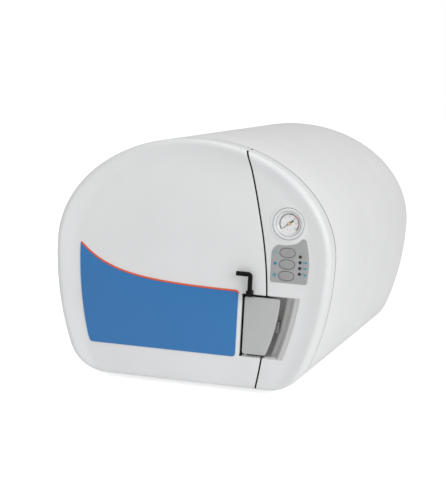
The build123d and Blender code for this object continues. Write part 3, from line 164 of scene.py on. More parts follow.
def inside(points, line):
    """Which points lie inside a closed line, by counting crossings."""
    x, z = points[:, :1], points[:, 1:]
    x0, z0 = line.T
    x1, z1 = np.roll(line, -1, axis=0).T
    crosses = (z0 > z) != (z1 > z)
    at = x0 + (z - z0) * (x1 - x0) / np.where(z1 == z0, 1e-9, z1 - z0)
    return ((crosses & (x < at)).sum(1) % 2) == 1


OUTLINE = cabinet_outline()
print("outline", len(OUTLINE), "points, lowest", round(OUTLINE[:, 1].min(), 2))

# %% [markdown]
# ## Three ways to make a mesh
# Most pieces here are one of three things: rings of points joined side by side, a flat outline with a thickness and a
# soft edge, or a round section led along a line. A helper for each keeps the later cells short. Shading is smooth
# except where two faces meet at a real corner.

# %% Mesh helpers
def mesh_object(name, points, faces, material, sharp=32.0, fix=True):
    """A mesh object at the origin from points in metres. fix merges doubles and turns the faces outwards."""
    mesh = bpy.data.meshes.new(name)
    mesh.from_pydata([tuple(p) for p in points], [], faces)
    made = bpy.data.objects.new(name, mesh)
    bpy.context.scene.collection.objects.link(made)
    if fix:
        work = bmesh.new()
        work.from_mesh(mesh)
        bmesh.ops.remove_doubles(work, verts=work.verts, dist=1e-7)
        bmesh.ops.recalc_face_normals(work, faces=work.faces)
        work.to_mesh(mesh)
        work.free()
    shade(made, sharp)
    mesh.materials.append(material)
    return made


def shade(made, sharp=32.0):
    """Smooth shading that breaks at corners sharper than the angle."""
    made.data.polygons.foreach_set("use_smooth", [True] * len(made.data.polygons))
    made.data.set_sharp_from_angle(angle=math.radians(sharp))
    made.data.update()


def apply_modifiers(made):
    """Bakes an object's modifiers into its mesh and takes them off."""
    view = bpy.context.evaluated_depsgraph_get()
    mesh = bpy.data.meshes.new_from_object(made.evaluated_get(view), depsgraph=view)
    made.modifiers.clear()
    made.data = mesh
    return made


def ring_faces(rings, count, close_section=False, caps=True):
    """Quads between neighbouring rings of count points. close_section joins the last ring to the first."""
    faces = []
    pairs = [(i, i + 1) for i in range(rings - 1)] + ([(rings - 1, 0)] if close_section else [])
    for a, b in pairs:
        for i in range(count):
            j = (i + 1) % count
            faces.append((a * count + i, a * count + j, b * count + j, b * count + i))
    if caps and not close_section:
        faces.append(tuple(range(count - 1, -1, -1)))
        faces.append(tuple((rings - 1) * count + i for i in range(count)))
    return faces


def rings_object(name, rings, material, close_section=False, caps=True, sharp=32.0):
    """Rings of the same number of points, joined side by side."""
    points = [p for ring in rings for p in ring]
    return mesh_object(name, points, ring_faces(len(rings), len(rings[0]), close_section, caps), material, sharp)


def turned(name, section, x, z, material, steps=96, closed=False, sharp=32.0):
    """A piece turned on a lathe about an axis that runs front to back: section is (radius, depth) in millimetres."""
    turns = [2 * math.pi * i / steps for i in range(steps)]
    rings = [[place(x + r * math.cos(a), y, z + r * math.sin(a)) for a in turns] for r, y in section]
    return rings_object(name, rings, material, close_section=closed, caps=not closed, sharp=sharp)


def soft_plate(name, line, front, back, edge, material, dome=(), steps=4, sharp=32.0):
    """A flat outline with a rounded front edge. dome adds rings, as (inset, how far it rises)."""
    rings = [[place(x, back, z) for x, z in line]]
    for i in range(steps + 1):
        a = math.pi / 2 * i / steps
        ring = pull_in(line, edge * (1 - math.cos(a)))
        rings.append([place(x, front + edge * (1 - math.sin(a)), z) for x, z in ring])
    for inset, rise in dome:
        rings.append([place(x, front - rise, z) for x, z in pull_in(line, edge + inset)])
    return rings_object(name, rings, material, sharp=sharp)


def round_corners(corners, radii, steps=8):
    """A closed counter-clockwise line through corners (x, z), each rounded by its radius."""
    points = []
    count = len(corners)
    for i, (corner, r) in enumerate(zip(corners, radii)):
        here = np.array(corner, float)
        before = np.array(corners[i - 1], float) - here
        after = np.array(corners[(i + 1) % count], float) - here
        if r <= 0:
            points.append(here)
            continue
        before /= np.linalg.norm(before)
        after /= np.linalg.norm(after)
        half = math.acos(np.clip(before @ after, -1, 1)) / 2
        reach = r / math.tan(half)
        middle = here + (before + after) / np.linalg.norm(before + after) * r / math.sin(half)
        start, stop = here + before * reach - middle, here + after * reach - middle
        a0 = math.atan2(start[1], start[0])
        turn = (math.atan2(stop[1], stop[0]) - a0 + math.pi) % (2 * math.pi) - math.pi
        points += [middle + r * np.array([math.cos(a0 + turn * k / steps), math.sin(a0 + turn * k / steps)])
                   for k in range(steps + 1)]
    return np.array(points)


def led_along(name, path, radius, material, steps=24, sharp=32.0):
    """A round bar led along points in metres, with ends rounded like a dome."""
    path = [Vector(p) for p in path]
    side = Vector((0, 1, 0))
    rings = []

    def ring(at, ahead, r):
        nonlocal side
        side = (side - ahead * side.dot(ahead)).normalized()
        other = ahead.cross(side)
        rings.append([at + (side * math.cos(2 * math.pi * k / steps) + other * math.sin(2 * math.pi * k / steps)) * r
                      for k in range(steps)])

    first = (path[1] - path[0]).normalized()
    last = (path[-1] - path[-2]).normalized()
    for i in range(1, 6):
        a = math.pi / 2 * i / 6
        ring(path[0] + first * radius * (1 - math.sin(a)), first, radius * math.cos(math.pi / 2 - a))
    for before, at, after in zip(path, path[1:-1], path[2:]):
        ring(at, (after - before).normalized(), radius)
    for i in range(5, 0, -1):
        a = math.pi / 2 * i / 6
        ring(path[-1] - last * radius * (1 - math.sin(a)), last, radius * math.sin(a))
    return rings_object(name, rings, material, sharp=sharp)


def block(low, high, name, material, edge=0.6, steps=3):
    """A box between two corners (x, depth, z) in millimetres, with every edge rounded."""
    (x0, y0, z0), (x1, y1, z1) = low, high
    corners = [(x, y, z) for x in (x0, x1) for y in (y0, y1) for z in (z0, z1)]
    faces = [(0, 1, 3, 2), (4, 6, 7, 5), (0, 4, 5, 1), (2, 3, 7, 6), (0, 2, 6, 4), (1, 5, 7, 3)]
    made = mesh_object(name, [place(*c) for c in corners], faces, material)
    work = bmesh.new()
    work.from_mesh(made.data)
    bmesh.ops.bevel(work, geom=list(work.edges), offset=edge * MM, segments=steps, profile=0.5, affect="EDGES")
    work.to_mesh(made.data)
    work.free()
    shade(made)
    return made


def islands(node):
    """Boxes (low, high) of the separate solids in a CAD node, in millimetres, from left to right."""
    work = bmesh.new()
    work.from_mesh(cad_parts[node].data)
    bmesh.ops.remove_doubles(work, verts=work.verts, dist=1e-6)
    seen, found = set(), []
    for start in work.verts:
        if start in seen:
            continue
        stack, group = [start], []
        seen.add(start)
        while stack:
            vertex = stack.pop()
            group.append(vertex.co[:])
            for edge in vertex.link_edges:
                other = edge.other_vert(vertex)
                if other not in seen:
                    seen.add(other)
                    stack.append(other)
        points = (np.array(group) - (0, CREST_Y, 0)) / MM
        found.append((points.min(0), points.max(0)))
    work.free()
    return sorted(found, key=lambda b: (round(b[0][0], 1), round(b[0][2], 1), round(b[0][1], 1)))


print("mesh helpers ready")

# %% [markdown]
# ## Camera
# The camera stands to the right of the middle and a little above, a long lens a good two metres away, and it leans by
# three degrees, as a hand-held one does. Its three axes are worked out from two angles and the lean.

# %% Camera
AZIMUTH, ELEVATION, LEAN = math.radians(15.56), math.radians(7.46), math.radians(3.1)
back = Vector((math.sin(AZIMUTH) * math.cos(ELEVATION), -math.cos(AZIMUTH) * math.cos(ELEVATION), math.sin(ELEVATION)))
across = (-back).cross(Vector((0, 0, 1))).normalized()
upward = across.cross(-back)
side = across * math.cos(LEAN) + upward * math.sin(LEAN)
upright = upward * math.cos(LEAN) - across * math.sin(LEAN)
lens = bpy.data.cameras.new("camera")
lens.lens = 113.98
lens.sensor_width = 36.0
lens.clip_start, lens.clip_end = 0.1, 50.0
camera = bpy.data.objects.new("camera", lens)
camera.matrix_world = Matrix((side, upright, back)).transposed().to_4x4()
camera.location = (0.6293, -2.41365, 0.4838)
bpy.context.scene.collection.objects.link(camera)
bpy.context.scene.camera = camera
print("camera at", [round(v, 3) for v in camera.location])

# %% [markdown]
# ## Shader groups
# Powder coat, moulded plastic, film and metal differ in colour but share a few effects: colour that drifts a little
# from place to place, a fine grain in the surface, long brush marks, worn edges and settled dust. Each effect is a
# group with named inputs. It gives out only a colour, a mask or a height, and the Principled shader stays in the
# material. Patterns read Object coordinates, which are metres here, so a scale of 1000 is a millimetre.

# %% Node helpers
def node(tree, kind, settings=None, **inputs):
    """Adds a node. An input named i0, i1 goes by number and others by name; a socket is linked, a value is set."""
    made = tree.nodes.new(kind)
    for key, value in (settings or {}).items():
        setattr(made, key, value)
    for key, value in inputs.items():
        by_number = key[0] == "i" and key[1:].isdigit()
        socket = made.inputs[int(key[1:])] if by_number else made.inputs[key.replace("_", " ")]
        if isinstance(value, bpy.types.NodeSocket):
            tree.links.new(value, socket)
        else:
            socket.default_value = value
    return made


def new_group(name, inputs, outputs, kind="ShaderNodeTree"):
    """A node group with its sockets: inputs are (name, type, value), outputs (name, type)."""
    tree = bpy.data.node_groups.new(name, kind)
    for label, socket_type, value in inputs:
        socket = tree.interface.new_socket(label, in_out="INPUT", socket_type="NodeSocket" + socket_type)
        if value is not None:
            socket.default_value = value
    for label, socket_type in outputs:
        tree.interface.new_socket(label, in_out="OUTPUT", socket_type="NodeSocket" + socket_type)
    return tree, tree.nodes.new("NodeGroupInput").outputs, tree.nodes.new("NodeGroupOutput").inputs


def noise(tree, vector, scale, detail=2.0, roughness=0.5):
    """A noise value from 0 to 1."""
    return node(tree, "ShaderNodeTexNoise", Vector=vector, Scale=scale, Detail=detail, Roughness=roughness).outputs[0]


def math_node(tree, operation, a, b=0.0, clamp=False):
    """One arithmetic step."""
    return node(tree, "ShaderNodeMath", {"operation": operation, "use_clamp": clamp}, i0=a, i1=b).outputs[0]


def spread(tree, value, low, high, to_low=0.0, to_high=1.0):
    """Maps low..high onto to_low..to_high, held at both ends."""
    made = node(tree, "ShaderNodeMapRange", {"clamp": True}, Value=value)
    for i, v in enumerate((low, high, to_low, to_high), start=1):
        if isinstance(v, bpy.types.NodeSocket):
            tree.links.new(v, made.inputs[i])
        else:
            made.inputs[i].default_value = v
    return made.outputs[0]


def mix_colour(tree, factor, a, b, blend="MIX"):
    """Mixes two colours."""
    return node(tree, "ShaderNodeMix", {"data_type": "RGBA", "blend_type": blend}, i0=factor, i6=a, i7=b).outputs[2]


print("node helpers ready")

# %% Groups: drifting colour, grain, brush marks, worn edges, dust
def drifting_colour_group():
    """Colour that is a little lighter or darker in soft patches."""
    tree, given, out = new_group("drifting_colour", [("Vector", "Vector", None), ("Colour", "Color", (1, 1, 1, 1)),
                                                     ("Amount", "Float", 0.03), ("Scale", "Float", 12.0)],
                                 [("Colour", "Color")])
    patches = spread(tree, noise(tree, given["Vector"], given["Scale"], 3.0), 0.3, 0.7, -1.0, 1.0)
    shift = math_node(tree, "MULTIPLY_ADD", patches, given["Amount"])
    shift.node.inputs[2].default_value = 1.0
    value = node(tree, "ShaderNodeHueSaturation", Color=given["Colour"], Value=shift)
    tree.links.new(value.outputs[0], out["Colour"])
    return tree


def surface_grain_group():
    """The fine relief of powder coat or spark-eroded plastic: a soft ripple with a finer grain on it."""
    tree, given, out = new_group("surface_grain", [("Vector", "Vector", None), ("Ripple scale", "Float", 500.0),
                                                   ("Grain scale", "Float", 2500.0), ("Grain share", "Float", 0.4)],
                                 [("Height", "Float"), ("Speckle", "Float")])
    ripple = noise(tree, given["Vector"], given["Ripple scale"], 1.0)
    grain = noise(tree, given["Vector"], given["Grain scale"], 2.0)
    both = math_node(tree, "MULTIPLY_ADD", grain, given["Grain share"])
    tree.links.new(ripple, both.node.inputs[2])
    tree.links.new(both, out["Height"])
    tree.links.new(spread(tree, grain, 0.3, 0.7), out["Speckle"])
    return tree


def brush_marks_group():
    """Long fine scratches along one direction, from noise stretched along it."""
    tree, given, out = new_group("brush_marks", [("Vector", "Vector", None), ("Fineness", "Float", 2200.0)],
                                 [("Height", "Float"), ("Streak", "Float")])
    fine = noise(tree, given["Vector"], given["Fineness"], 2.0, 0.6)
    wide = noise(tree, given["Vector"], math_node(tree, "MULTIPLY", given["Fineness"], 0.21), 2.0, 0.6)
    tree.links.new(math_node(tree, "ADD", fine, wide), out["Height"])
    tree.links.new(spread(tree, wide, 0.35, 0.65), out["Streak"])
    return tree


def worn_edges_group():
    """A mask of convex edges, broken up by noise, where handling polishes or chips the finish."""
    tree, given, out = new_group("worn_edges", [("Vector", "Vector", None), ("Reach", "Float", 0.08),
                                                ("Patch scale", "Float", 120.0)], [("Mask", "Float")])
    point = node(tree, "ShaderNodeNewGeometry").outputs["Pointiness"]
    edge = spread(tree, point, 0.52, math_node(tree, "ADD", given["Reach"], 0.52))
    patches = spread(tree, noise(tree, given["Vector"], given["Patch scale"], 3.0), 0.42, 0.62)
    tree.links.new(math_node(tree, "MULTIPLY", edge, patches, clamp=True), out["Mask"])
    return tree


def settled_dust_group():
    """A mask of dust on faces that look up, thicker in soft patches."""
    tree, given, out = new_group("settled_dust", [("Vector", "Vector", None), ("Patch scale", "Float", 18.0)],
                                 [("Mask", "Float")])
    up = node(tree, "ShaderNodeSeparateXYZ", Vector=node(tree, "ShaderNodeNewGeometry").outputs["Normal"]).outputs[2]
    patches = spread(tree, noise(tree, given["Vector"], given["Patch scale"], 4.0), 0.35, 0.75)
    specks = spread(tree, noise(tree, given["Vector"], 900.0, 1.0), 0.6, 0.75)
    cover = math_node(tree, "MAXIMUM", patches, specks)
    tree.links.new(math_node(tree, "MULTIPLY", spread(tree, up, 0.4, 1.0), cover, clamp=True), out["Mask"])
    return tree


DRIFT = drifting_colour_group()
GRAIN = surface_grain_group()
BRUSH = brush_marks_group()
WORN = worn_edges_group()
DUST = settled_dust_group()
print("shader groups", [g.name for g in bpy.data.node_groups])

# %% [markdown]
# ## Finishes
# A moulded or painted finish is a colour that drifts, a grain that both bumps the surface and roughens it, a little
# dust on top and edges polished by handling. A metal finish has brush marks in place of the grain. So two builders
# make nearly all of the materials, and each material is one line of values: a maker's list of finishes.

# %% Material builders
def start_material(name):
    """An empty material with its Principled shader: gives the material, its tree, the shader and the coordinates."""
    made = bpy.data.materials.new(name)
    made.use_nodes = True
    tree = made.node_tree
    shader = next(n for n in tree.nodes if n.type == "BSDF_PRINCIPLED")
    where = node(tree, "ShaderNodeTexCoord").outputs["Object"]
    return made, tree, shader, where


def use_group(tree, group, **inputs):
    """Places a shader group in a material and gives its outputs."""
    return node(tree, "ShaderNodeGroup", {"node_tree": group}, **inputs).outputs


def coated(name, colour, rough, ripple=500.0, grain=2500.0, depth=0.02, drift=0.02, dust=0.05, wear=0.0,
           worn_colour=(0.9, 0.9, 0.9, 1), coat=0.0, coat_rough=0.1, rough_spread=0.06, shine=0.5):
    """Paint, moulded plastic, film or rubber."""
    made, tree, shader, where = start_material(name)
    colour_now = use_group(tree, DRIFT, Vector=where, Colour=(*colour, 1), Amount=drift)[0]
    relief = use_group(tree, GRAIN, Vector=where, Ripple_scale=ripple, Grain_scale=grain)
    worn = use_group(tree, WORN, Vector=where)[0]
    colour_now = mix_colour(tree, math_node(tree, "MULTIPLY", worn, wear), colour_now, worn_colour)
    dusty = math_node(tree, "MULTIPLY", use_group(tree, DUST, Vector=where)[0], dust)
    colour_now = mix_colour(tree, dusty, colour_now, (0.62, 0.6, 0.56, 1))
    roughness = spread(tree, relief["Speckle"], 0, 1, rough - rough_spread / 2, rough + rough_spread / 2)
    roughness = math_node(tree, "ADD", roughness, math_node(tree, "MULTIPLY", dusty, 0.5), clamp=True)
    bump = node(tree, "ShaderNodeBump", Strength=1.0, Distance=depth * MM, Height=relief["Height"])
    tree.links.new(colour_now, shader.inputs["Base Color"])
    tree.links.new(roughness, shader.inputs["Roughness"])
    tree.links.new(bump.outputs[0], shader.inputs["Normal"])
    shader.inputs["Specular IOR Level"].default_value = shine
    shader.inputs["Coat Weight"].default_value = coat
    shader.inputs["Coat Roughness"].default_value = coat_rough
    return made


def metal(name, colour, rough, stretch=(1.0, 1.0, 0.04), fineness=2200.0, depth=0.004, drift=0.04, stain=0.25,
          stain_colour=(0.4, 0.37, 0.33, 1)):
    """Bare or plated metal with brush marks along the axis that stretch shrinks."""
    made, tree, shader, where = start_material(name)
    along = node(tree, "ShaderNodeMapping", Vector=where, Scale=stretch).outputs[0]
    marks = use_group(tree, BRUSH, Vector=along, Fineness=fineness)
    colour_now = use_group(tree, DRIFT, Vector=where, Colour=(*colour, 1), Amount=drift, Scale=25.0)[0]
    patches = spread(tree, noise(tree, where, 60.0, 4.0), 0.5, 0.8, 0.0, stain)
    colour_now = mix_colour(tree, patches, colour_now, stain_colour)
    roughness = spread(tree, marks["Streak"], 0, 1, rough * 0.8, rough * 1.25)
    bump = node(tree, "ShaderNodeBump", Strength=1.0, Distance=depth * MM, Height=marks["Height"])
    tree.links.new(colour_now, shader.inputs["Base Color"])
    tree.links.new(roughness, shader.inputs["Roughness"])
    tree.links.new(bump.outputs[0], shader.inputs["Normal"])
    shader.inputs["Metallic"].default_value = 1.0
    return made


# %% The list of finishes
powder_coat = coated("white_powder_coat", (0.84, 0.845, 0.845), 0.42, ripple=420, depth=0.03, dust=0.05)
moulded_white = coated("moulded_white", (0.83, 0.835, 0.84), 0.34, ripple=260, grain=3000, depth=0.012, dust=0.03,
                       coat=0.25, coat_rough=0.22)
liner_white = coated("liner_white", (0.74, 0.745, 0.75), 0.5, ripple=300, depth=0.02, dust=0.05)
blue_film = coated("blue_film", (0.024, 0.19, 0.49), 0.36, ripple=900, grain=4000, depth=0.004, drift=0.025,
                   dust=0.02, coat=0.15, coat_rough=0.25)
orange_film = coated("orange_film", (0.76, 0.11, 0.05), 0.36, ripple=900, grain=4000, depth=0.004, drift=0.03,
                     dust=0.02)
paddle_grey = coated("paddle_grey", (0.53, 0.535, 0.535), 0.46, ripple=700, grain=3200, depth=0.015, dust=0.05,
                     wear=0.2, worn_colour=(0.6, 0.6, 0.6, 1))
scoop_grey = coated("scoop_grey", (0.68, 0.68, 0.67), 0.4, ripple=600, grain=3000, depth=0.015, dust=0.04)
panel_grey = coated("panel_grey", (0.41, 0.415, 0.415), 0.5, ripple=1200, grain=4200, depth=0.008, drift=0.03,
                    dust=0.02)
key_grey = coated("key_grey", (0.36, 0.365, 0.36), 0.42, ripple=1200, grain=4200, depth=0.008, drift=0.03, dust=0.02,
                  wear=0.25, worn_colour=(0.45, 0.45, 0.45, 1))
satin_black = coated("satin_black", (0.012, 0.012, 0.013), 0.38, ripple=900, grain=3500, depth=0.012, dust=0.06,
                     wear=0.3, worn_colour=(0.05, 0.05, 0.05, 1))
# near-black for the door's pocket tray: painted shade of the gaps round the paddle
pocket_shade_dark = coated("pocket_shade_dark", (0.025, 0.025, 0.026), 0.6, depth=0.02, dust=0.05)
lever_black = coated("lever_black", (0.004, 0.004, 0.004), 0.5, ripple=900, grain=3500, depth=0.012, dust=0.0,
                     shine=0.15)
# near-black for the strips in the seam and in the ring gap: painted shade of those gaps
gap_shade_dark = coated("gap_shade_dark", (0.015, 0.015, 0.016), 0.7, ripple=400, grain=1800, depth=0.02, drift=0.1, dust=0.0,
                   shine=0.3)
rubber_black = coated("rubber_black", (0.02, 0.02, 0.02), 0.75, ripple=400, grain=1800, depth=0.05, drift=0.1, dust=0.2)
silicone_cream = coated("silicone_cream", (0.66, 0.62, 0.54), 0.55, ripple=300, depth=0.015, drift=0.04, dust=0.06)
lamp_dark = coated("lamp_dark", (0.006, 0.006, 0.008), 0.12, ripple=800, depth=0.002, dust=0.03, coat=0.6,
                   coat_rough=0.05)
dial_card = coated("dial_card", (0.96, 0.96, 0.95), 0.55, ripple=1500, depth=0.004, drift=0.015, dust=0.0)
gauge_white = coated("gauge_white", (0.80, 0.81, 0.82), 0.25, ripple=500, depth=0.004, dust=0.03, coat=0.5,
                     coat_rough=0.08)
print_black = coated("print_black", (0.012, 0.012, 0.014), 0.5, depth=0.002, drift=0.1, dust=0.02)
print_red = coated("print_red", (0.62, 0.05, 0.10), 0.5, depth=0.002, drift=0.05, dust=0.02)
print_teal = coated("print_teal", (0.02, 0.30, 0.36), 0.45, depth=0.002, drift=0.05, dust=0.02)
print_green = coated("print_green", (0.20, 0.47, 0.42), 0.45, depth=0.002, drift=0.05, dust=0.02)
print_blue = coated("print_blue", (0.02, 0.26, 0.42), 0.45, depth=0.002, drift=0.05, dust=0.02)
hub_gold = coated("hub_gold", (0.62, 0.33, 0.10), 0.35, depth=0.003, drift=0.05, dust=0.0, coat=0.3)
coil_black = coated("coil_black", (0.02, 0.02, 0.025), 0.45, ripple=250, depth=0.08, dust=0.1)
stainless_lengthwise = metal("stainless_lengthwise", (0.62, 0.62, 0.61), 0.24, stretch=(1.0, 0.03, 1.0))
stainless_sheet = metal("stainless_sheet", (0.60, 0.60, 0.59), 0.30, stretch=(0.03, 1.0, 1.0))
stainless_turned = metal("stainless_turned", (0.64, 0.64, 0.63), 0.20, stretch=(0.3, 1.0, 0.3), fineness=1500)
zinc_plate = metal("zinc_plate", (0.56, 0.56, 0.55), 0.36, stretch=(1.0, 1.0, 0.3), fineness=900, drift=0.1,
                   stain_colour=(0.45, 0.44, 0.36, 1))
phosphate_grey = metal("phosphate_grey", (0.26, 0.26, 0.26), 0.45, stretch=(1.0, 1.0, 0.3), fineness=900, stain=0.2,
                    stain_colour=(0.10, 0.08, 0.06, 1))
satin_aluminium = metal("satin_aluminium", (0.80, 0.81, 0.82), 0.22, stretch=(0.4, 1.0, 0.4), fineness=1800, stain=0.05)
dull_copper = metal("dull_copper", (0.72, 0.37, 0.22), 0.34, stretch=(1.0, 0.2, 1.0), drift=0.08, stain=0.5,
                    stain_colour=(0.30, 0.16, 0.10, 1))
turned_brass = metal("turned_brass", (0.72, 0.53, 0.25), 0.27, stretch=(1.0, 0.4, 1.0), stain=0.35,
                     stain_colour=(0.42, 0.30, 0.14, 1))
print("finishes", len(bpy.data.materials))

# %% [markdown]
# ## Finishes for the frame's own nodes
# Many nodes keep their CAD shape, such as the hinge, the valves and the chamber, and only need a finish. The list
# below names the material for each one, and the cells further on replace the nodes whose shape has to be finer.

# %% Put finishes on the CAD nodes
NODE_FINISH = {
    powder_coat: ["outer_shell", "base_plate", "front_bulkhead", "back_panel"],
    moulded_white: ["door_cover", "fascia"],
    liner_white: ["door_liner"],
    scoop_grey: ["recess_liner"],
    paddle_grey: ["handle_paddle"],
    key_grey: ["start_key", "dry_key", "stop_key"],
    panel_grey: ["control_overlay"],
    blue_film: ["blue_panel"],
    orange_film: ["accent_stripe"],
    satin_black: ["lock_lever", "lever_bush", "power_inlet", "fuse_holders", "switch_body", "power_rocker",
                  "gauge_case", "gauge_needle", "key_switches"],
    coil_black: ["exhaust_coil"],
    stainless_turned: ["chamber_flange", "door_plate", "chamber_vessel"],
    stainless_lengthwise: ["tray_rack", "tray_bottom", "tray_middle", "tray_top", "relief_ring"],
    stainless_sheet: ["insulation_straps", "heater_bands"],
    zinc_plate: ["back_panel_screws", "flange_bolts", "chamber_saddles", "hinge_bracket", "hinge_pin", "door_bridge",
                 "centre_bolt", "cover_screws", "transformer", "temperature_probe"],
    phosphate_grey: ["striker"],
    satin_aluminium: ["gauge_bezel"],
    dull_copper: ["exhaust_pipe", "gauge_pipe"],
    turned_brass: ["relief_valve", "exhaust_valve", "outlet_nozzle"],
    silicone_cream: ["door_gasket"],
    rubber_black: ["rubber_feet"],
    dial_card: ["gauge_dial"],
    lamp_dark: ["led_lenses"],
}


def woven_fibre():
    """Needled fibre cloth: two sets of threads at right angles, bumped and shaded."""
    made, tree, shader, where = start_material("woven_fibre")
    warp = node(tree, "ShaderNodeTexWave", {"bands_direction": "Y"}, Vector=where, Scale=90.0, Distortion=1.5)
    weft = node(tree, "ShaderNodeTexWave", {"bands_direction": "DIAGONAL"}, Vector=where, Scale=90.0, Distortion=1.5)
    cloth = math_node(tree, "MAXIMUM", warp.outputs["Fac"], weft.outputs["Fac"])
    colour_now = mix_colour(tree, cloth, (0.42, 0.40, 0.35, 1), (0.72, 0.70, 0.63, 1))
    bump = node(tree, "ShaderNodeBump", Strength=1.0, Distance=0.5 * MM, Height=cloth)
    tree.links.new(use_group(tree, DRIFT, Vector=where, Colour=colour_now, Amount=0.08)[0], shader.inputs["Base Color"])
    tree.links.new(bump.outputs[0], shader.inputs["Normal"])
    shader.inputs["Roughness"].default_value = 0.9
    return made


def circuit_board():
    """Green solder resist with lighter copper areas beneath it and fine tracks."""
    made, tree, shader, where = start_material("circuit_board")
    tracks = node(tree, "ShaderNodeTexBrick", {"offset": 0.37}, Vector=where, Color1=(0.02, 0.16, 0.06, 1),
                  Color2=(0.035, 0.24, 0.09, 1), Mortar=(0.01, 0.09, 0.04, 1), Scale=140.0, Mortar_Size=0.03)
    tree.links.new(use_group(tree, DRIFT, Vector=where, Colour=tracks.outputs[0], Amount=0.1, Scale=60.0)[0],
                   shader.inputs["Base Color"])
    bump = node(tree, "ShaderNodeBump", Strength=1.0, Distance=0.04 * MM, Height=tracks.outputs[1])
    tree.links.new(bump.outputs[0], shader.inputs["Normal"])
    shader.inputs["Roughness"].default_value = 0.35
    return made


def clear_glass():
    """A thin clear window, with a trace of dust that only roughens it."""
    made, tree, shader, where = start_material("clear_glass")
    tree.links.new(spread(tree, noise(tree, where, 200.0, 3.0), 0.4, 0.8, 0.01, 0.06), shader.inputs["Roughness"])
    tree.links.new(spread(tree, noise(tree, where, 90.0, 3.0), 0.4, 0.8, 0.02, 0.05), shader.inputs["Alpha"])
    shader.inputs["Base Color"].default_value = (0.97, 0.99, 0.99, 1)
    return made


NODE_FINISH[woven_fibre()] = ["insulation_blanket"]
NODE_FINISH[circuit_board()] = ["control_board", "power_board"]
glass = clear_glass()
NODE_FINISH[glass] = ["gauge_glass"]
for finish, names in NODE_FINISH.items():
    for name in names:
        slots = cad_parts[name].material_slots
        for one in slots:
            one.link = "OBJECT"
            one.material = finish
print("finished nodes", sum(len(names) for names in NODE_FINISH.values()))


def add_piece(piece, body, slot, *nodes):
    """Puts a piece on its body and lets it stand for the CAD nodes it replaces. slot is not used."""
    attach(piece, body)
    if nodes:
        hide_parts(*nodes)
    triangles = sum(len(p.vertices) - 2 for p in piece.data.polygons)
    print(piece.name, "on", body, "-", triangles, "triangles")
    return piece


# %% [markdown]
# ## The cabinet's wrap
# The shell is one painted sheet wrapped round the machine. Its front edge is folded in beside the seam and its back
# edge rolls over the back panel, which makes it stiff and safe to touch. Rings of the same outline at growing depths,
# each pulled in by its own inset, give both rolls and the sheet's thickness in one closed mesh.

# %% Outer shell
def outer_shell():
    """The wrapped sheet: outside from front to back, over the back roll, and inside to the front again."""
    roll, sheet = 5.0, 1.2
    section = [(0.9, SHELL_FRONT + 6), (0.9, SHELL_FRONT + 0.6), (0.55, SHELL_FRONT + 0.15), (0.25, SHELL_FRONT),
               (0.08, SHELL_FRONT + 0.15), (0.0, SHELL_FRONT + 0.5)]
    section += [(0.0, SHELL_FRONT + (SHELL_BACK - roll - SHELL_FRONT) * k / 6) for k in range(1, 6)]
    for k in range(9):
        a = math.pi / 2 * k / 8
        section.append((roll * (1 - math.cos(a)), SHELL_BACK - roll * (1 - math.sin(a))))
    section += [(roll + 2.6, SHELL_BACK), (roll + 2.6, SHELL_BACK - sheet), (roll, SHELL_BACK - sheet)]
    for k in range(7, -1, -1):
        a = math.pi / 2 * k / 8
        section.append((roll - (roll - sheet) * math.cos(a), SHELL_BACK - roll + (roll - sheet) * math.sin(a)))
    section.append((sheet, SHELL_FRONT + 6))
    rings = [[place(x, depth, z) for x, z in pull_in(OUTLINE, inset)] for inset, depth in section]
    return rings_object("cabinet_shell", rings, powder_coat, close_section=True)


add_piece(outer_shell(), "cabinet", "white_paint", "outer_shell")

# %% [markdown]
# ## The soft front
# The door's cover and the fixed fascia are one surface cut by a curved seam. Its height is a rule: an outer edge that
# rolls back, a rim that stands proud, a broad slope down to a flat face, and small rounds at the seam, the handle
# pocket and the gauge. So the surface is a flat net of triangles in which every edge line is drawn, and each point
# is then set to the depth that the rule gives. The walls that go back, and the thickness, come after.

# %% Lines of the front
SEAM_MIDDLE, SEAM_R, SEAM_GAP = np.array([-458.6, 114.7]), 571.0, 2.4
ROLL, CREST_IN = 8.0, 6.5
SLOPE_TOP, SLOPE_SIDE = 14.0, 28.0
LINER_WALL = 2.0
liner_low, liner_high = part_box("recess_liner")
POCKET_TOP = liner_high.z / MM - LINER_WALL
POCKET_BOTTOM = liner_low.z / MM + LINER_WALL
POCKET_RIGHT = liner_high.x / MM - LINER_WALL
POCKET_RIGHT_LOW = POCKET_RIGHT - 20.0
POCKET_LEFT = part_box("handle_paddle")[0].x / MM - 3.6
GAUGE = np.array(centre_of("gauge_bezel"))
GAUGE_HOLE_R = 22.3
KEY_HALF_W, KEY_HALF_H = 10.5, 6.2
KEYS = [np.array(centre_of(n)) for n in ("start_key", "dry_key", "stop_key")]
LAMPS = [np.array([(low[0] + high[0]) / 2, (low[2] + high[2]) / 2]) for low, high in islands("led_lenses")]
LAMPS.sort(key=lambda p: -p[1])


def arc_through(a, b, c, count):
    """Points on the circle through three points, from a to c."""
    (ax, az), (bx, bz), (cx, cz) = a, b, c
    d = 2 * (ax * (bz - cz) + bx * (cz - az) + cx * (az - bz))
    a2, b2, c2 = ax * ax + az * az, bx * bx + bz * bz, cx * cx + cz * cz
    middle = ((a2 * (bz - cz) + b2 * (cz - az) + c2 * (az - bz)) / d,
              (a2 * (cx - bx) + b2 * (ax - cx) + c2 * (bx - ax)) / d)
    start, stop = (math.atan2(p[1] - middle[1], p[0] - middle[0]) for p in (a, c))
    turn = (stop - start + math.pi) % (2 * math.pi) - math.pi
    r = math.hypot(ax - middle[0], az - middle[1])
    turns = start + turn * np.linspace(0, 1, count)
    return np.column_stack([middle[0] + r * np.cos(turns), middle[1] + r * np.sin(turns)])


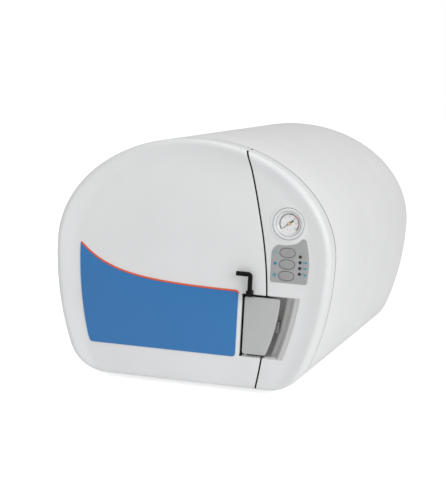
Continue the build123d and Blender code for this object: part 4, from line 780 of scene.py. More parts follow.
def pocket_right_edge(count=40):
    """The pocket's curved right edge, from the bottom up."""
    middle = (POCKET_RIGHT * 0.62 + POCKET_RIGHT_LOW * 0.38, (POCKET_TOP + POCKET_BOTTOM) / 2)
    return arc_through((POCKET_RIGHT_LOW, POCKET_BOTTOM), middle, (POCKET_RIGHT, POCKET_TOP), count)


def ellipse(middle, a, b, count=64):
    """A closed ellipse."""
    return arc(middle, a, b, 0, 2 * math.pi, count)


def oval(middle, grow=0.0, count=96):
    """A key's outline: an ellipse with slightly fuller shoulders, larger by grow."""
    turns = np.linspace(0, 2 * math.pi, count, endpoint=False)
    c, s = np.cos(turns), np.sin(turns)
    fuller = np.sign(np.column_stack([c, s])) * np.abs(np.column_stack([c, s])) ** 0.88
    return middle + fuller * (KEY_HALF_W + grow, KEY_HALF_H + grow)


def seam_bend(z):
    """Near the top the seam stands up straighter than its circle by this much."""
    return 5.7 * np.clip((np.asarray(z) - 240) / 95, 0, 1.3) ** 1.6


def seam_side(points):
    """Distance from the seam, positive on the fascia's side."""
    return np.hypot(*(points - SEAM_MIDDLE).T) - SEAM_R - seam_bend(points[:, 1])


def seam_line(change):
    """The seam moved sideways by change, from below the base to above the top."""
    turns = np.radians(np.linspace(-14, 26, 300))
    away = np.column_stack([np.cos(turns), np.sin(turns)])
    line = SEAM_MIDDLE + (SEAM_R + change) * away
    for _ in range(6):
        line = SEAM_MIDDLE + (SEAM_R + change + seam_bend(line[:, 1]))[:, None] * away
    return line


def rim_line():
    """The two ellipses of the outline, which go on past the base."""
    below = math.radians(46)
    right = arc((0, 0), HALF_WIDTH, LOWER_AXIS, -below, 0, 90)
    top = arc((0, 0), HALF_WIDTH, TOP_Z - WAIST_Z, 0, math.pi, 300)
    left = arc((0, 0), HALF_WIDTH, LOWER_AXIS, math.pi, math.pi + below, 90)
    return resample(np.vstack([right, top, left]), 420, closed=False) + (0, WAIST_Z)


RIM = rim_line()
POCKET = resample(np.vstack([[[POCKET_LEFT, POCKET_BOTTOM]], pocket_right_edge(), [[POCKET_LEFT, POCKET_TOP]]]), 220)
print("pocket", round(POCKET_LEFT, 1), round(POCKET_RIGHT, 1), "gauge", GAUGE.round(1), "lamps", len(LAMPS))


# %% Depth of the front
def soft_step(t):
    """0 below 0, 1 above 1, with a smooth way between."""
    t = np.clip(t, 0, 1)
    return t * t * (3 - 2 * t)


def slope_width(points):
    """The slope inside the rim is broad at the sides and narrow at the top."""
    turn = np.arctan2(points[:, 1] - WAIST_Z, points[:, 0])
    return SLOPE_TOP + (SLOPE_SIDE - SLOPE_TOP) * np.cos(turn) ** 2


def edge_round(distance, r):
    """How far a rounded edge of radius r falls back at a distance from it."""
    t = np.clip(distance, 0, r)
    return r - np.sqrt(np.maximum(r * r - (r - t) ** 2, 0))


def front_depth(points, door):
    """Depth of the front's surface behind the crest, for the door's side or the fascia's."""
    across = np.clip((distance_to(points, RIM, closed=False) - CREST_IN) / slope_width(points), 0, 1)
    recess = FACE_DEPTH * soft_step(across ** 0.8)
    boss = soft_step((28 - np.hypot(*(points - GAUGE).T)) / 4.5)
    recess = recess + (np.minimum(recess, FACE_DEPTH - 1.2) - recess) * boss
    roll = edge_round(distance_to(points, OUTLINE), ROLL) / ROLL
    depth = recess + (ROLL - recess) * roll
    depth += edge_round(seam_side(points) * (-1 if door else 1) - SEAM_GAP / 2, 0.8)
    depth += np.where(inside(points, POCKET), 0, edge_round(distance_to(points, POCKET), 1.2))
    return depth + edge_round(np.hypot(*(points - GAUGE).T) - GAUGE_HOLE_R, 0.6)


def net(lines, keep):
    """Triangles of a flat net that holds every line (points, closed), where keep says so for a triangle's middle."""
    points, edges = [], []
    for line, closed in lines:
        first, count = len(points), len(line)
        points += [Vector(p) for p in line]
        edges += [(first + i, first + (i + 1) % count) for i in range(count if closed else count - 1)]
    corners, _, faces, *_ = delaunay_2d_cdt(points, edges, [], 0, 1e-6, False)
    corners = np.array(corners)
    faces = np.array(faces)
    faces = faces[keep(corners[faces].mean(1))]
    used, faces = np.unique(faces, return_inverse=True)
    return corners[used], faces.reshape(-1, 3)


def pressed_sheet(name, corners, depth, faces, wall, thickness, material, sharp=32.0):
    """A surface with a thickness, whose walls go back from its edges to the depths in wall. nan leaves an edge open."""
    counts = {}
    for a, b, c in faces.tolist():
        for edge in ((a, b), (b, c), (c, a)):
            counts[edge] = counts.get(edge, 0) + 1
    rim = [e for e in counts if (e[1], e[0]) not in counts]
    points = [place(x, y, z) for (x, z), y in zip(corners, depth)]
    quads, back_of = [], {}
    for a, b in rim:
        if np.isnan(wall[a]) or np.isnan(wall[b]):
            continue
        for v in (a, b):
            if v not in back_of:
                back_of[v] = len(points)
                points.append(place(corners[v][0], wall[v], corners[v][1]))
        quads.append((b, a, back_of[a], back_of[b]))
    made = mesh_object(name, points, [tuple(f) for f in faces.tolist()] + quads, material, sharp, fix=False)
    solid = made.modifiers.new("thickness", "SOLIDIFY")
    solid.thickness = thickness * MM
    solid.offset = -1.0
    solid.use_even_offset = True
    apply_modifiers(made)
    shade(made, sharp)
    return made


# %% Door cover and fascia
def front_lines():
    """Every line that the front's net has to hold."""
    lines = [(pull_in(OUTLINE, d), True) for d in (0, 0.25, 0.8, 1.6, 2.7, 4.0, 5.5, 7.2, 9.2)]
    into = np.gradient(RIM, axis=0)
    into = np.column_stack([-into[:, 1], into[:, 0]]) / np.hypot(*into.T)[:, None]
    width = slope_width(RIM)[:, None]
    lines += [(RIM + into * (CREST_IN + width * f), False) for f in np.linspace(0, 1, 13)]
    lines += [(seam_line(s * (SEAM_GAP / 2 + t)), False) for t in (0, 0.08, 0.25, 0.5, 0.8) for s in (-1, 1)]
    lines += [(pull_in(POCKET, -t), True) for t in (0, 0.12, 0.35, 0.7, 1.2)]
    lines += [(ellipse(GAUGE, r, r, 120), True) for r in (GAUGE_HOLE_R, 22.4, 22.6, 22.9, 23.6, 24.8, 26, 27, 28)]
    lines += [(oval(k, 0.6), True) for k in KEYS] + [(ellipse(p, 2.3, 2.3, 24), True) for p in LAMPS]
    return lines


def front_part(name, door):
    """One side of the seam."""
    sign = -1 if door else 1

    def keep(middles):
        kept = inside(middles, OUTLINE) & ~inside(middles, POCKET)
        kept &= sign * seam_side(middles) > SEAM_GAP / 2
        kept &= np.hypot(*(middles - GAUGE).T) > GAUGE_HOLE_R - 0.05
        for k in KEYS:
            kept &= ~inside(middles, oval(k, 0.58))
        for p in LAMPS:
            kept &= np.hypot(*(middles - p).T) > 2.28
        return kept

    corners, faces = net(front_lines(), keep)
    depth = front_depth(corners, door)
    wall = np.full(len(corners), FRONT_BACK)
    wall[distance_to(corners, POCKET) < 0.05] = FACE_DEPTH + 6
    wall[np.hypot(*(corners - GAUGE).T) < GAUGE_HOLE_R + 0.05] = FACE_DEPTH + 5
    for k in KEYS:
        wall[inside(corners, oval(k, 0.7))] = np.nan
    for p in LAMPS:
        wall[np.hypot(*(corners - p).T) < 2.4] = np.nan
    return pressed_sheet(name, corners, depth, faces, wall, 2.4, moulded_white)


add_piece(front_part("door_moulding", True), "door", "white_plastic", "door_cover")
add_piece(front_part("fascia_moulding", False), "cabinet", "white_plastic", "fascia")


# %% Near-black strips in the seam and behind the front: painted shade of the gaps
def seam_seal():
    """A near-black strip that stands 1.4 mm below the face in the seam, above and below the pocket: painted shade of
    the seam's gap.
    """
    half = SEAM_GAP / 2 - 0.1
    edge = pull_in(OUTLINE, 0.6)

    def keep(middles):
        return inside(middles, edge) & ~inside(middles, POCKET) & (np.abs(seam_side(middles)) < half)

    lines = [(edge, True), (pull_in(POCKET, -0.3), True)] + [(seam_line(s * half), False) for s in (-1, 0, 1)]
    lines += [(pull_in(OUTLINE, d), True) for d in (1.6, 2.7, 4.0, 5.5, 7.2)]
    corners, faces = net(lines, keep)
    depth = front_depth(corners, False) + 0.6
    return pressed_sheet("seam_seal", corners, depth, faces, np.full(len(corners), np.nan), 2.5, gap_shade_dark)


def seam_flange():
    """A flat white flange that closes the door's back where the seam leaves its circle near the top."""
    edge = pull_in(OUTLINE, 2.6)

    def keep(middles):
        circle = np.hypot(*(middles - SEAM_MIDDLE).T) - SEAM_R
        left_of_seam = seam_side(middles) < -SEAM_GAP / 2 - 0.2
        return inside(middles, edge) & left_of_seam & (circle > -3) & (middles[:, 1] > 236)

    away = seam_line(-SEAM_GAP / 2 - 0.2)
    turns = np.radians(np.linspace(-14, 26, 300))
    circle = SEAM_MIDDLE + (SEAM_R - 3) * np.column_stack([np.cos(turns), np.sin(turns)])
    lines = [(edge, True), (away, False), (circle, False), (np.array([[-200.0, 236.0], [200.0, 236.0]]), False)]
    corners, faces = net(lines, keep)
    return pressed_sheet("seam_flange", corners, np.full(len(corners), FRONT_BACK - 1.6), faces,
                         np.full(len(corners), np.nan), 1.5, liner_white)


def ring_seal():
    """A near-black ring between the back edge of the front and the front edge of the shell: painted shade of the gap.
    """
    section = [(0.3, FRONT_BACK + 0.1), (0.25, SHELL_FRONT - 0.3), (0.6, SHELL_FRONT - 0.05), (2.2, SHELL_FRONT - 0.05),
               (2.2, FRONT_BACK + 0.1)]
    rings = []
    for inset, depth in section:
        rings.append([place(x, depth, z) for x, z in pull_in(OUTLINE, inset)])
    return rings_object("ring_seal", rings, gap_shade_dark, close_section=True)


# the seam strip and the ring are near-black to paint the shade of their gaps
add_piece(seam_seal(), "cabinet", "rubber")
add_piece(seam_flange(), "door", "white_plastic")
add_piece(ring_seal(), "cabinet", "rubber")

# %% [markdown]
# ## The handle pocket
# The pocket crosses the seam. Its left part belongs to the door and is a near-black tray behind the paddle, with
# rounded inner corners; its near-black colour is painted shade, so that the gaps round the paddle read black. Its right
# part is fixed to the fascia and is a scoop for the fingers: a bevel along the curved edge, a steep side, and a hollow
# floor. A
# scoop is easiest as a grid: one direction runs along the curved edge and the other across it, and the depth follows a
# profile.

# %% Pocket tray on the door
def joined(name, parts):
    """Several objects made one, with their materials kept."""
    bpy.ops.object.select_all(action="DESELECT")
    for part in parts:
        part.select_set(True)
    bpy.context.view_layer.objects.active = parts[0]
    bpy.ops.object.join()
    parts[0].name = name
    parts[0].data.name = name
    return parts[0]


def thickened(made, thickness, offset=-1.0, sharp=32.0):
    """Gives a surface a thickness in millimetres, to its back, and shades it."""
    solid = made.modifiers.new("thickness", "SOLIDIFY")
    solid.thickness, solid.offset, solid.use_even_offset = thickness * MM, offset, True
    apply_modifiers(made)
    shade(made, sharp)
    return made


def grid_object(name, rows, material, sharp=32.0):
    """A surface from rows of the same number of points."""
    count = len(rows[0])
    faces = [(r * count + i, r * count + i + 1, (r + 1) * count + i + 1, (r + 1) * count + i)
             for r in range(len(rows) - 1) for i in range(count - 1)]
    return mesh_object(name, [p for row in rows for p in row], faces, material, sharp, fix=False)


def face_front(work, made):
    """Turns the faces of the edited mesh to the front and writes it back to its object."""
    bmesh.ops.recalc_face_normals(work, faces=work.faces)
    if sum(f.normal.y * f.calc_area() for f in work.faces) > 0:
        bmesh.ops.reverse_faces(work, faces=work.faces)
    work.to_mesh(made.data)
    work.free()


def seam_x(z, change):
    """Where the seam's circle, changed by change, stands at height z."""
    return SEAM_MIDDLE[0] + math.sqrt((SEAM_R + change) ** 2 - (z - SEAM_MIDDLE[1]) ** 2)


def door_pocket():
    """Three walls and a floor, open towards the fascia, near-black as painted shade of the pocket behind the paddle."""
    front, floor_depth, corner = FACE_DEPTH + 1.3, 20.0, 3.0
    left, low, high = POCKET_LEFT - 0.2, POCKET_BOTTOM - 0.2, POCKET_TOP + 0.2
    sections = [(0.0, front)] + [(corner * (1 - math.sin(a)), floor_depth - corner * (1 - math.cos(a)))
                                 for a in (math.pi / 2 * (1 - k / 6) for k in range(7))]
    rows = []
    for inset, depth in sections:
        x, bottom, top = left + inset, low + inset, high - inset
        end_low, end_high = seam_x(bottom, -SEAM_GAP / 2), seam_x(top, -SEAM_GAP / 2)
        r = max(4.0 - inset, 0.6)
        line = round_corners([(end_low, bottom), (end_high, top), (x, top), (x, bottom)], [0, 0, r, r])
        rows.append([place(px, depth, pz) for px, pz in np.roll(line, -1, axis=0)])
    made = grid_object("door_pocket", rows, pocket_shade_dark)
    work = bmesh.new()
    work.from_mesh(made.data)
    work.verts.ensure_lookup_table()
    count = len(rows[0])
    work.faces.new([work.verts[(len(rows) - 1) * count + i] for i in range(count)])
    face_front(work, made)
    return thickened(made, 1.5)


# the tray's near-black colour is painted shade, so the gaps round the paddle read black
add_piece(door_pocket(), "door", "black_plastic")


# %% Finger scoop on the fascia
def scoop_profile(s):
    """Depth of the scoop below the face at a distance s in from its right edge."""
    steps = np.linspace(-4, 70, 741)
    raw = np.interp(steps, [0, 7.6, 8.9, 13, 20, 25, 35, 60], [0, 2.4, 5.5, 12.5, 14.2, 20.0, 24.0, 24.6])
    soft = np.convolve(np.pad(raw, 15, mode="edge"), np.ones(31) / 31, mode="valid")
    return np.interp(s, steps, soft - np.interp(0, steps, soft))


def finger_scoop():
    """The fixed part of the pocket."""
    edge = pocket_right_edge(60)
    height = POCKET_TOP - POCKET_BOTTOM
    from_end = np.array([0, 0.4, 0.9, 1.5, 2.4, 3.6, 5.2, 7.5])
    heights = np.concatenate([from_end, np.linspace(11, height - 11, 26), height - from_end[::-1]])
    across = np.concatenate([np.linspace(0, 9, 16), np.linspace(10, 22, 16), np.linspace(24, 60, 16)])
    rows = []
    for h in heights:
        z = POCKET_BOTTOM - 0.2 + h * (height + 0.4) / height
        right = np.interp(z, edge[:, 1], edge[:, 0]) + 0.2
        left = seam_x(z, SEAM_GAP / 2)
        s = np.minimum(across, right - left)
        end = 1 - math.exp(-min(h, height - h) / 1.1)
        depth = FACE_DEPTH + 1.2 + scoop_profile(s) * end
        rows.append([place(right - a, d, z) for a, d in zip(s, depth)])
    made = grid_object("finger_scoop", rows, scoop_grey, sharp=50)
    work = bmesh.new()
    work.from_mesh(made.data)
    bmesh.ops.remove_doubles(work, verts=work.verts, dist=1e-6)
    face_front(work, made)
    return thickened(made, 1.2, sharp=50)


add_piece(finger_scoop(), "cabinet", "grey_plastic", "recess_liner")

# %% [markdown]
# ## Paddle, lever and bush
# The paddle is a moulded plate that the fingers pull by its curved right edge. Behind it are a knuckle on two pivots
# and the latch hook. The lever is a round bar bent once, on a thin spindle that stands in a block. Bars are led along
# a path with the bend drawn as an arc, and the plate is its outline with a soft front edge and a slight crown.

# %% Pull paddle
def pull_paddle():
    """The plate, its knuckle with pivots, and the hook."""
    low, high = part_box("handle_paddle")
    left, front, back_edge = low.x / MM, depth_of(low.y), depth_of(low.y) + 4.0
    bottom, top = POCKET_BOTTOM + 3.6, POCKET_TOP - 3.6
    right_top, right_bottom = left + 50.5, left + 33.0
    middle = (right_top * 0.62 + right_bottom * 0.38 + 1.5, (top + bottom) / 2)
    edge = arc_through((right_bottom, bottom), middle, (right_top, top), 26)
    corners = [(left, bottom)] + [tuple(p) for p in edge] + [(left, top)]
    radii = [3.0, 3.5] + [0] * (len(edge) - 2) + [3.5, 3.0]
    line = resample(round_corners(corners, radii), 200)
    plate = soft_plate("plate", line, front, back_edge, 1.4, paddle_grey, dome=[(0.6, 0.08), (1.3, 0.12)])
    pivot_x, pivot_depth = left + 4.0, front + 6.0
    knuckle = led_along("knuckle",
                        [place(pivot_x, pivot_depth, z) for z in (bottom + 2, bottom + 10, top - 10, top - 2)],
                        4.0 * MM, paddle_grey)
    pivots = led_along("pivots", [place(pivot_x, pivot_depth, z) for z in
                                  (low.z / MM, low.z / MM + 8, high.z / MM - 8, high.z / MM)], 2.5 * MM, paddle_grey)
    hook_tip = seam_x(97, 0) + SEAM_GAP + 10
    z = (top + bottom) / 2
    arm = block((hook_tip - 9, back_edge - 1, z - 7), (hook_tip - 6, pivot_depth + 5, z + 7), "arm", paddle_grey)
    nose = block((hook_tip - 9, pivot_depth + 2, z - 7), (hook_tip, pivot_depth + 5, z + 7), "nose", paddle_grey)
    return joined("pull_paddle", [plate, knuckle, pivots, arm, nose])


add_piece(pull_paddle(), "paddle", "grey_plastic", "handle_paddle")


# %% Lock lever and its bush
def bent_path(start, corner, stop, r, steps=8):
    """Points from start to stop with the corner drawn as an arc of radius r."""
    start, corner, stop = Vector(start), Vector(corner), Vector(stop)
    a, b = (start - corner).normalized(), (stop - corner).normalized()
    middle = corner + (a + b) * r
    bend = [middle - b * r * math.cos(t) - a * r * math.sin(t) for t in
            (math.pi / 2 * k / steps for k in range(steps + 1))]
    return [start, (start + bend[0]) / 2] + bend + [(bend[-1] + stop) / 2, stop]


def lock_lever():
    """Spindle, upright stem and the arm to the left."""
    low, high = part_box("lock_lever")
    bar = 3.3
    x, depth = high.x / MM - bar, depth_of((low.y + high.y) / 2)
    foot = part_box("lever_bush")[1].z / MM + 0.3
    spindle = led_along("spindle", [place(x, depth, z) for z in (low.z / MM, low.z / MM + 3, foot, foot + 4)],
                        2.5 * MM, lever_black)
    path = bent_path(place(x, depth, foot), place(x, depth, high.z / MM - bar),
                     place(low.x / MM + 2.6, depth, high.z / MM - bar), 3.4 * MM)
    return joined("lock_lever_bar", [spindle, led_along("stem", path, bar * MM, lever_black)])


def turned_upright(name, section, x, depth, material, steps=48):
    """A piece turned about an upright axis: section is (radius, height), closed."""
    turns = [2 * math.pi * i / steps for i in range(steps)]
    rings = [[place(x + r * math.cos(a), depth + r * math.sin(a), z) for a in turns] for r, z in section]
    return rings_object(name, rings, material, close_section=True)


def lever_block():
    """The narrow block that carries the spindle."""
    low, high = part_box("lever_bush")
    slim = (high.x - low.x) / MM / 2 - 4.2
    ends = [(c.x / MM - s * slim, depth_of(c.y), c.z / MM) for s, c in ((-1, low), (1, high))]
    return block(ends[0], ends[1], "lever_block", lever_black, edge=1.3, steps=4)


add_piece(lock_lever(), "lever", "black_plastic", "lock_lever")
add_piece(lever_block(), "door", "black_plastic", "lever_bush")

# %% [markdown]
# ## Blue panel and stripe
# A printed film panel lies on the door's lower half. Its top edge sweeps down from the left like a decaying curve, and
# an orange stripe follows it and turns over the panel's right corner. Both are outlines with a small round edge.

# %% Blue panel and stripe
PANEL_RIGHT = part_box("blue_panel")[1].x / MM
PANEL_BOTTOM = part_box("blue_panel")[0].z / MM + 2.3
PANEL_LEVEL, PANEL_RISE, PANEL_DECAY, PANEL_START = WAIST_Z - 49.7, 49.5, 51.0, -164.0


def sweep_height(x):
    """Height of the panel's sweeping top edge."""
    return PANEL_LEVEL + PANEL_RISE * np.exp(-(x - PANEL_START) / PANEL_DECAY)


def sweep_points(rise, until):
    """The top edge from left to right, raised square to itself by rise."""
    x = PANEL_START + (until - PANEL_START) * np.linspace(0, 1, 90) ** 1.3
    slope = -(sweep_height(x) - PANEL_LEVEL) / PANEL_DECAY
    length = np.hypot(1, slope)
    return np.column_stack([x - rise * slope / length, sweep_height(x) + rise / length])


def panel_left_edge():
    """The panel's left edge, which follows the face's ellipse down to the bottom corner."""
    z = np.linspace(sweep_height(PANEL_START) - 1.5, PANEL_BOTTOM, 40)
    drop = (z - WAIST_Z) / LOWER_AXIS
    return np.column_stack([-(HALF_WIDTH - 36) * np.sqrt(1 - drop ** 2), z])


def film_pieces():
    """The blue panel, closed counter-clockwise, and the stripe above it."""
    front, back_face, corner = FACE_DEPTH - 0.8, FACE_DEPTH, 4.5
    left = panel_left_edge()
    top = sweep_points(0, PANEL_RIGHT - corner)[::-1]
    turn_right = arc((PANEL_RIGHT - corner, top[0][1] - corner), corner, corner, 0, math.pi / 2, 10)
    low_right = arc((PANEL_RIGHT - corner, PANEL_BOTTOM + corner), corner, corner, -math.pi / 2, 0, 10)
    start = left[-1] + (corner, 0)
    low_left = arc_through(left[-1] + (-0.7, corner), left[-1] + (1.3, 1.1), start, 9)[:-1]
    line = np.vstack([low_left, [start], low_right, turn_right, top, left[left[:, 1] > PANEL_BOTTOM + corner + 1]])
    blue = soft_plate("blue_film_panel", resample(line, 420), front, back_face, 0.3, blue_film)
    gap, width = 0.1, 2.5
    under = sweep_points(gap, PANEL_RIGHT - corner)
    over = sweep_points(gap + width, PANEL_RIGHT - corner)[::-1]
    end = (PANEL_RIGHT - corner, under[-1][1] - corner - gap)
    inner = arc(end, corner + gap, corner + gap, math.pi / 2, 0.15, 10)
    outer = arc(end, corner + gap + width * 0.7, corner + gap + width, 0.25, math.pi / 2, 12)
    stripe_line = np.vstack([under, inner, outer, over])
    stripe = soft_plate("orange_stripe", resample(stripe_line, 420), front, back_face, 0.3, orange_film)
    return blue, stripe


blue, stripe = film_pieces()
add_piece(blue, "door", "blue_film", "blue_panel")
add_piece(stripe, "door", "orange_film", "accent_stripe")

# %% [markdown]
# ## Key panel, keys and lamps
# A thin grey panel with a wavy top lies round three oval keys and four dark lamps. It is made like the front: a flat
# net that holds its outline and its openings, with a small round at every edge. Each key is an oval with a soft
# shoulder and a low crown, and each lamp is a small dome. The marks beside them are printed discs and bars.

# %% Key panel
OVERLAY_FRONT = FACE_DEPTH - 0.6
OVERLAY_SHAPE = [(-22.5, -26.0), (29.5, -26.0), (31.5, 0.0), (30.2, 14.0), (24.5, 41.5), (13.0, 29.0), (-2.0, 26.0),
                 (-16.0, 26.5), (-22.5, 17.0)]


def key_panel():
    """The grey panel, with a rounded outline and a lip round each key."""
    corners = [tuple(KEYS[1] + p) for p in OVERLAY_SHAPE]
    line = resample(round_corners(corners, [3.5, 3.5, 30, 30, 4.5, 16, 24, 9, 9], steps=12), 260)
    lines = [(pull_in(line, d), True) for d in (0, 0.08, 0.2, 0.4)]
    for k in KEYS:
        lines += [(oval(k, g), True) for g in (0.5, 0.56, 0.7, 1.0, 1.5)]
    lines += [(ellipse(p, 2.25 + g, 2.25 + g, 32), True) for p in LAMPS for g in (0, 0.08, 0.25)]

    def keep(middles):
        kept = inside(middles, line)
        for k in KEYS:
            kept &= ~inside(middles, oval(k, 0.49))
        for p in LAMPS:
            kept &= np.hypot(*(middles - p).T) > 2.24
        return kept

    points, faces = net(lines, keep)
    depth = OVERLAY_FRONT + edge_round(distance_to(points, line), 0.4)
    for k in KEYS:
        gap = distance_to(points, oval(k, 0.5))
        depth += edge_round(gap, 1.0) * 0.5
    for p in LAMPS:
        depth += edge_round(np.hypot(*(points - p).T) - 2.25, 0.25)
    return pressed_sheet("key_panel", points, depth, faces, np.full(len(points), np.nan), 0.5, panel_grey)


add_piece(key_panel(), "cabinet", "grey_film", "control_overlay")


# %% Keys and lamps
def oval_key(name, node_name, middle):
    """One key: a straight stem, a soft shoulder and a crowned face."""
    low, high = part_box(node_name)
    line = oval(middle)
    return soft_plate(name, line, depth_of(low.y) + 0.35, depth_of(high.y), 1.0, key_grey,
                      dome=[(0.5, 0.12), (1.2, 0.22), (2.2, 0.31), (3.2, 0.35)], steps=6)


for name, node_name, body, middle in zip(("start_key_cap", "dry_key_cap", "stop_key_cap"),
                                         ("start_key", "dry_key", "stop_key"),
                                         ("start_button", "dry_button", "stop_button"), KEYS):
    add_piece(oval_key(name, node_name, middle), body, "grey_plastic", node_name)


def lamp_domes():
    """Four domed lenses."""
    back_end = depth_of(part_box("led_lenses")[1].y)
    front = OVERLAY_FRONT - 0.5
    section = [(2.0, back_end), (2.0, front + 0.6)] + [(2.0 * math.cos(a), front + 0.6 * (1 - math.sin(a)))
                                                       for a in (math.pi / 2 * k / 7 for k in range(1, 7))]
    return joined("lamp_domes", [turned(f"lamp_{i}", section, x, z, lamp_dark, steps=32)
                                 for i, (x, z) in enumerate(LAMPS)])


add_piece(lamp_domes(), "cabinet", "lamp_dark", "led_lenses")


# %% Printed marks beside the keys and lamps
def print_mark(line, material):
    """A raised print 0.06 mm thick with the outline given."""
    return soft_plate("mark", line, OVERLAY_FRONT - 0.06, OVERLAY_FRONT + 0.2, 0.02, material, steps=1)


def bar_line(middle, length, width, turn=0.0):
    """A short bar with round ends."""
    half = length / 2 - width / 2
    right = arc((half, 0), width / 2, width / 2, -math.pi / 2, math.pi / 2, 7)
    line = np.vstack([right, -right])
    c, s = math.cos(turn), math.sin(turn)
    return line @ np.array([[c, s], [-s, c]]) + middle


def panel_marks():
    """A disc or ring for each key, and small bars and dots for the lamps."""
    marks = []
    icon_x = KEYS[1][0] - 16.6
    for i, (key, ink) in enumerate(zip(KEYS, (print_green, print_blue, print_teal))):
        at = np.array([icon_x, key[1] + 0.3])
        marks.append(print_mark(ellipse(at, 1.6, 1.6, 20), ink))
        for k in range(8):
            a = math.pi / 4 * k
            reach = 2.5 if i != 1 else 2.0
            marks.append(print_mark(bar_line(at + reach * np.array([math.cos(a), math.sin(a)]), 1.4, 0.95, a), ink))
    for i, lamp in enumerate(LAMPS):
        ink = (panel_grey, print_blue, print_teal, print_teal)[i]
        start = lamp + (4.6, 0)
        marks.append(print_mark(bar_line(start + (0.3, 0.8), 2.8, 0.8), (key_grey, print_teal)[i > 0]))
        marks.append(print_mark(bar_line(start + (0.1, -0.7), 2.2, 0.8), (key_grey, print_teal)[i > 0]))
        if i > 0:
            marks.append(print_mark(ellipse(start + (3.6, 0.1 if i < 3 else -0.9), 1.6, 1.6, 16), ink))
    return joined("panel_marks", marks)


add_piece(panel_marks(), "cabinet", "grey_film")

# %% [markdown]
# ## Pressure gauge
# The gauge is turned parts round one axis: a bright rim, a pale cone that leads in to the dial, the dial with its
# print, and the needle with a brass hub. The print is real thin relief: an arc that turns from black to red, scale
# marks, and plain numbers. The marks repeat round the arc, so a Geometry Nodes tree places them: an arc of points, a
# small bar on each one, and the bars turned to face the middle.

# %% Geometry Nodes helpers
def geometry_tree(name, inputs):
    """A Geometry Nodes tree with a mesh in and out, and named inputs."""
    tree = bpy.data.node_groups.new(name, "GeometryNodeTree")
    tree.interface.new_socket("Geometry", in_out="INPUT", socket_type="NodeSocketGeometry")
    for label, kind, value in inputs:
        socket = tree.interface.new_socket(label, in_out="INPUT", socket_type="NodeSocket" + kind)
        if value is not None:
            socket.default_value = value
    tree.interface.new_socket("Geometry", in_out="OUTPUT", socket_type="NodeSocketGeometry")
    return tree, tree.nodes.new("NodeGroupInput").outputs, tree.nodes.new("NodeGroupOutput").inputs[0]


def finish_tree(tree, geometry, material, out):
    """Ends a tree in Realize Instances and Set Material."""
    real = node(tree, "GeometryNodeRealizeInstances", i0=geometry).outputs[0]
    tree.links.new(node(tree, "GeometryNodeSetMaterial", Geometry=real, Material=material).outputs[0], out)


def grown(made, tree, sharp=32.0, **values):
    """Runs a tree on an object with its named inputs set, and leaves a plain mesh."""
    modifier = made.modifiers.new("grow", "NODES")
    modifier.node_group = tree
    by_name = {s.name: s.identifier for s in tree.interface.items_tree if s.in_out == "INPUT"}
    for key, value in values.items():
        modifier[by_name[key.replace("_", " ")]] = value
    apply_modifiers(made)
    shade(made, sharp)
    return made


def empty_mesh(name, points=()):
    """An object whose mesh is only points."""
    mesh = bpy.data.meshes.new(name)
    mesh.from_pydata([tuple(p) for p in points], [], [])
    made = bpy.data.objects.new(name, mesh)
    bpy.context.scene.collection.objects.link(made)
    return made


# %% Scale marks round an arc
def scale_marks_tree():
    """Bars round an arc in the plane of the dial, whose normal is -Y. Angles are in degrees from +X."""
    tree, given, out = geometry_tree("scale_marks", [
        ("Middle", "Vector", (0, 0, 0)), ("Radius", "Float", 0.012), ("Start", "Float", 219.0),
        ("Step", "Float", -10.0), ("Count", "Int", 11), ("Length", "Float", 0.0014), ("Width", "Float", 0.0003),
        ("Thickness", "Float", 0.0001), ("Material", "Material", None)])
    points = node(tree, "GeometryNodePoints", Count=given["Count"]).outputs[0]
    index = node(tree, "GeometryNodeInputIndex").outputs[0]
    angle = math_node(tree, "MULTIPLY_ADD", index, given["Step"])
    tree.links.new(given["Start"], angle.node.inputs[2])
    angle = math_node(tree, "RADIANS", angle)
    x = math_node(tree, "MULTIPLY", math_node(tree, "COSINE", angle), given["Radius"])
    z = math_node(tree, "MULTIPLY", math_node(tree, "SINE", angle), given["Radius"])
    spot = node(tree, "ShaderNodeVectorMath", {"operation": "ADD"},
                i0=node(tree, "ShaderNodeCombineXYZ", X=x, Z=z).outputs[0], i1=given["Middle"]).outputs[0]
    placed = node(tree, "GeometryNodeSetPosition", Geometry=points, Position=spot).outputs[0]
    size = node(tree, "ShaderNodeCombineXYZ", X=given["Length"], Y=given["Thickness"], Z=given["Width"]).outputs[0]
    bar = node(tree, "GeometryNodeMeshCube", Size=size).outputs[0]
    turn = node(tree, "ShaderNodeCombineXYZ", Y=math_node(tree, "MULTIPLY", angle, -1.0)).outputs[0]
    bars = node(tree, "GeometryNodeInstanceOnPoints", Points=placed, Instance=bar, Rotation=turn).outputs[0]
    finish_tree(tree, bars, given["Material"], out)
    return tree


SCALE_MARKS = scale_marks_tree()
print("tree", SCALE_MARKS.name)

# %% Gauge
GAUGE_FRONT = depth_of(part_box("gauge_bezel")[0].y)
DIAL_FRONT = depth_of(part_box("gauge_needle")[0].y) + 2.0
DIAL_R = 14.4
NEEDLE_REST, NEEDLE_SWEEP = 219.0, 258.0


def gauge_rim():
    """The bright rim, rounded over to the front."""
    section = [(21.8, GAUGE_FRONT + 3), (21.8, GAUGE_FRONT + 1.1), (21.55, GAUGE_FRONT + 0.55),
               (21.1, GAUGE_FRONT + 0.2), (20.5, GAUGE_FRONT), (19.9, GAUGE_FRONT + 0.08), (19.2, GAUGE_FRONT + 0.4),
               (18.4, GAUGE_FRONT + 0.95), (17.8, GAUGE_FRONT + 1.3), (17.45, GAUGE_FRONT + 1.6),
               (17.45, GAUGE_FRONT + 3)]
    return turned("gauge_rim", section, *GAUGE, gauge_white, closed=True, steps=128)


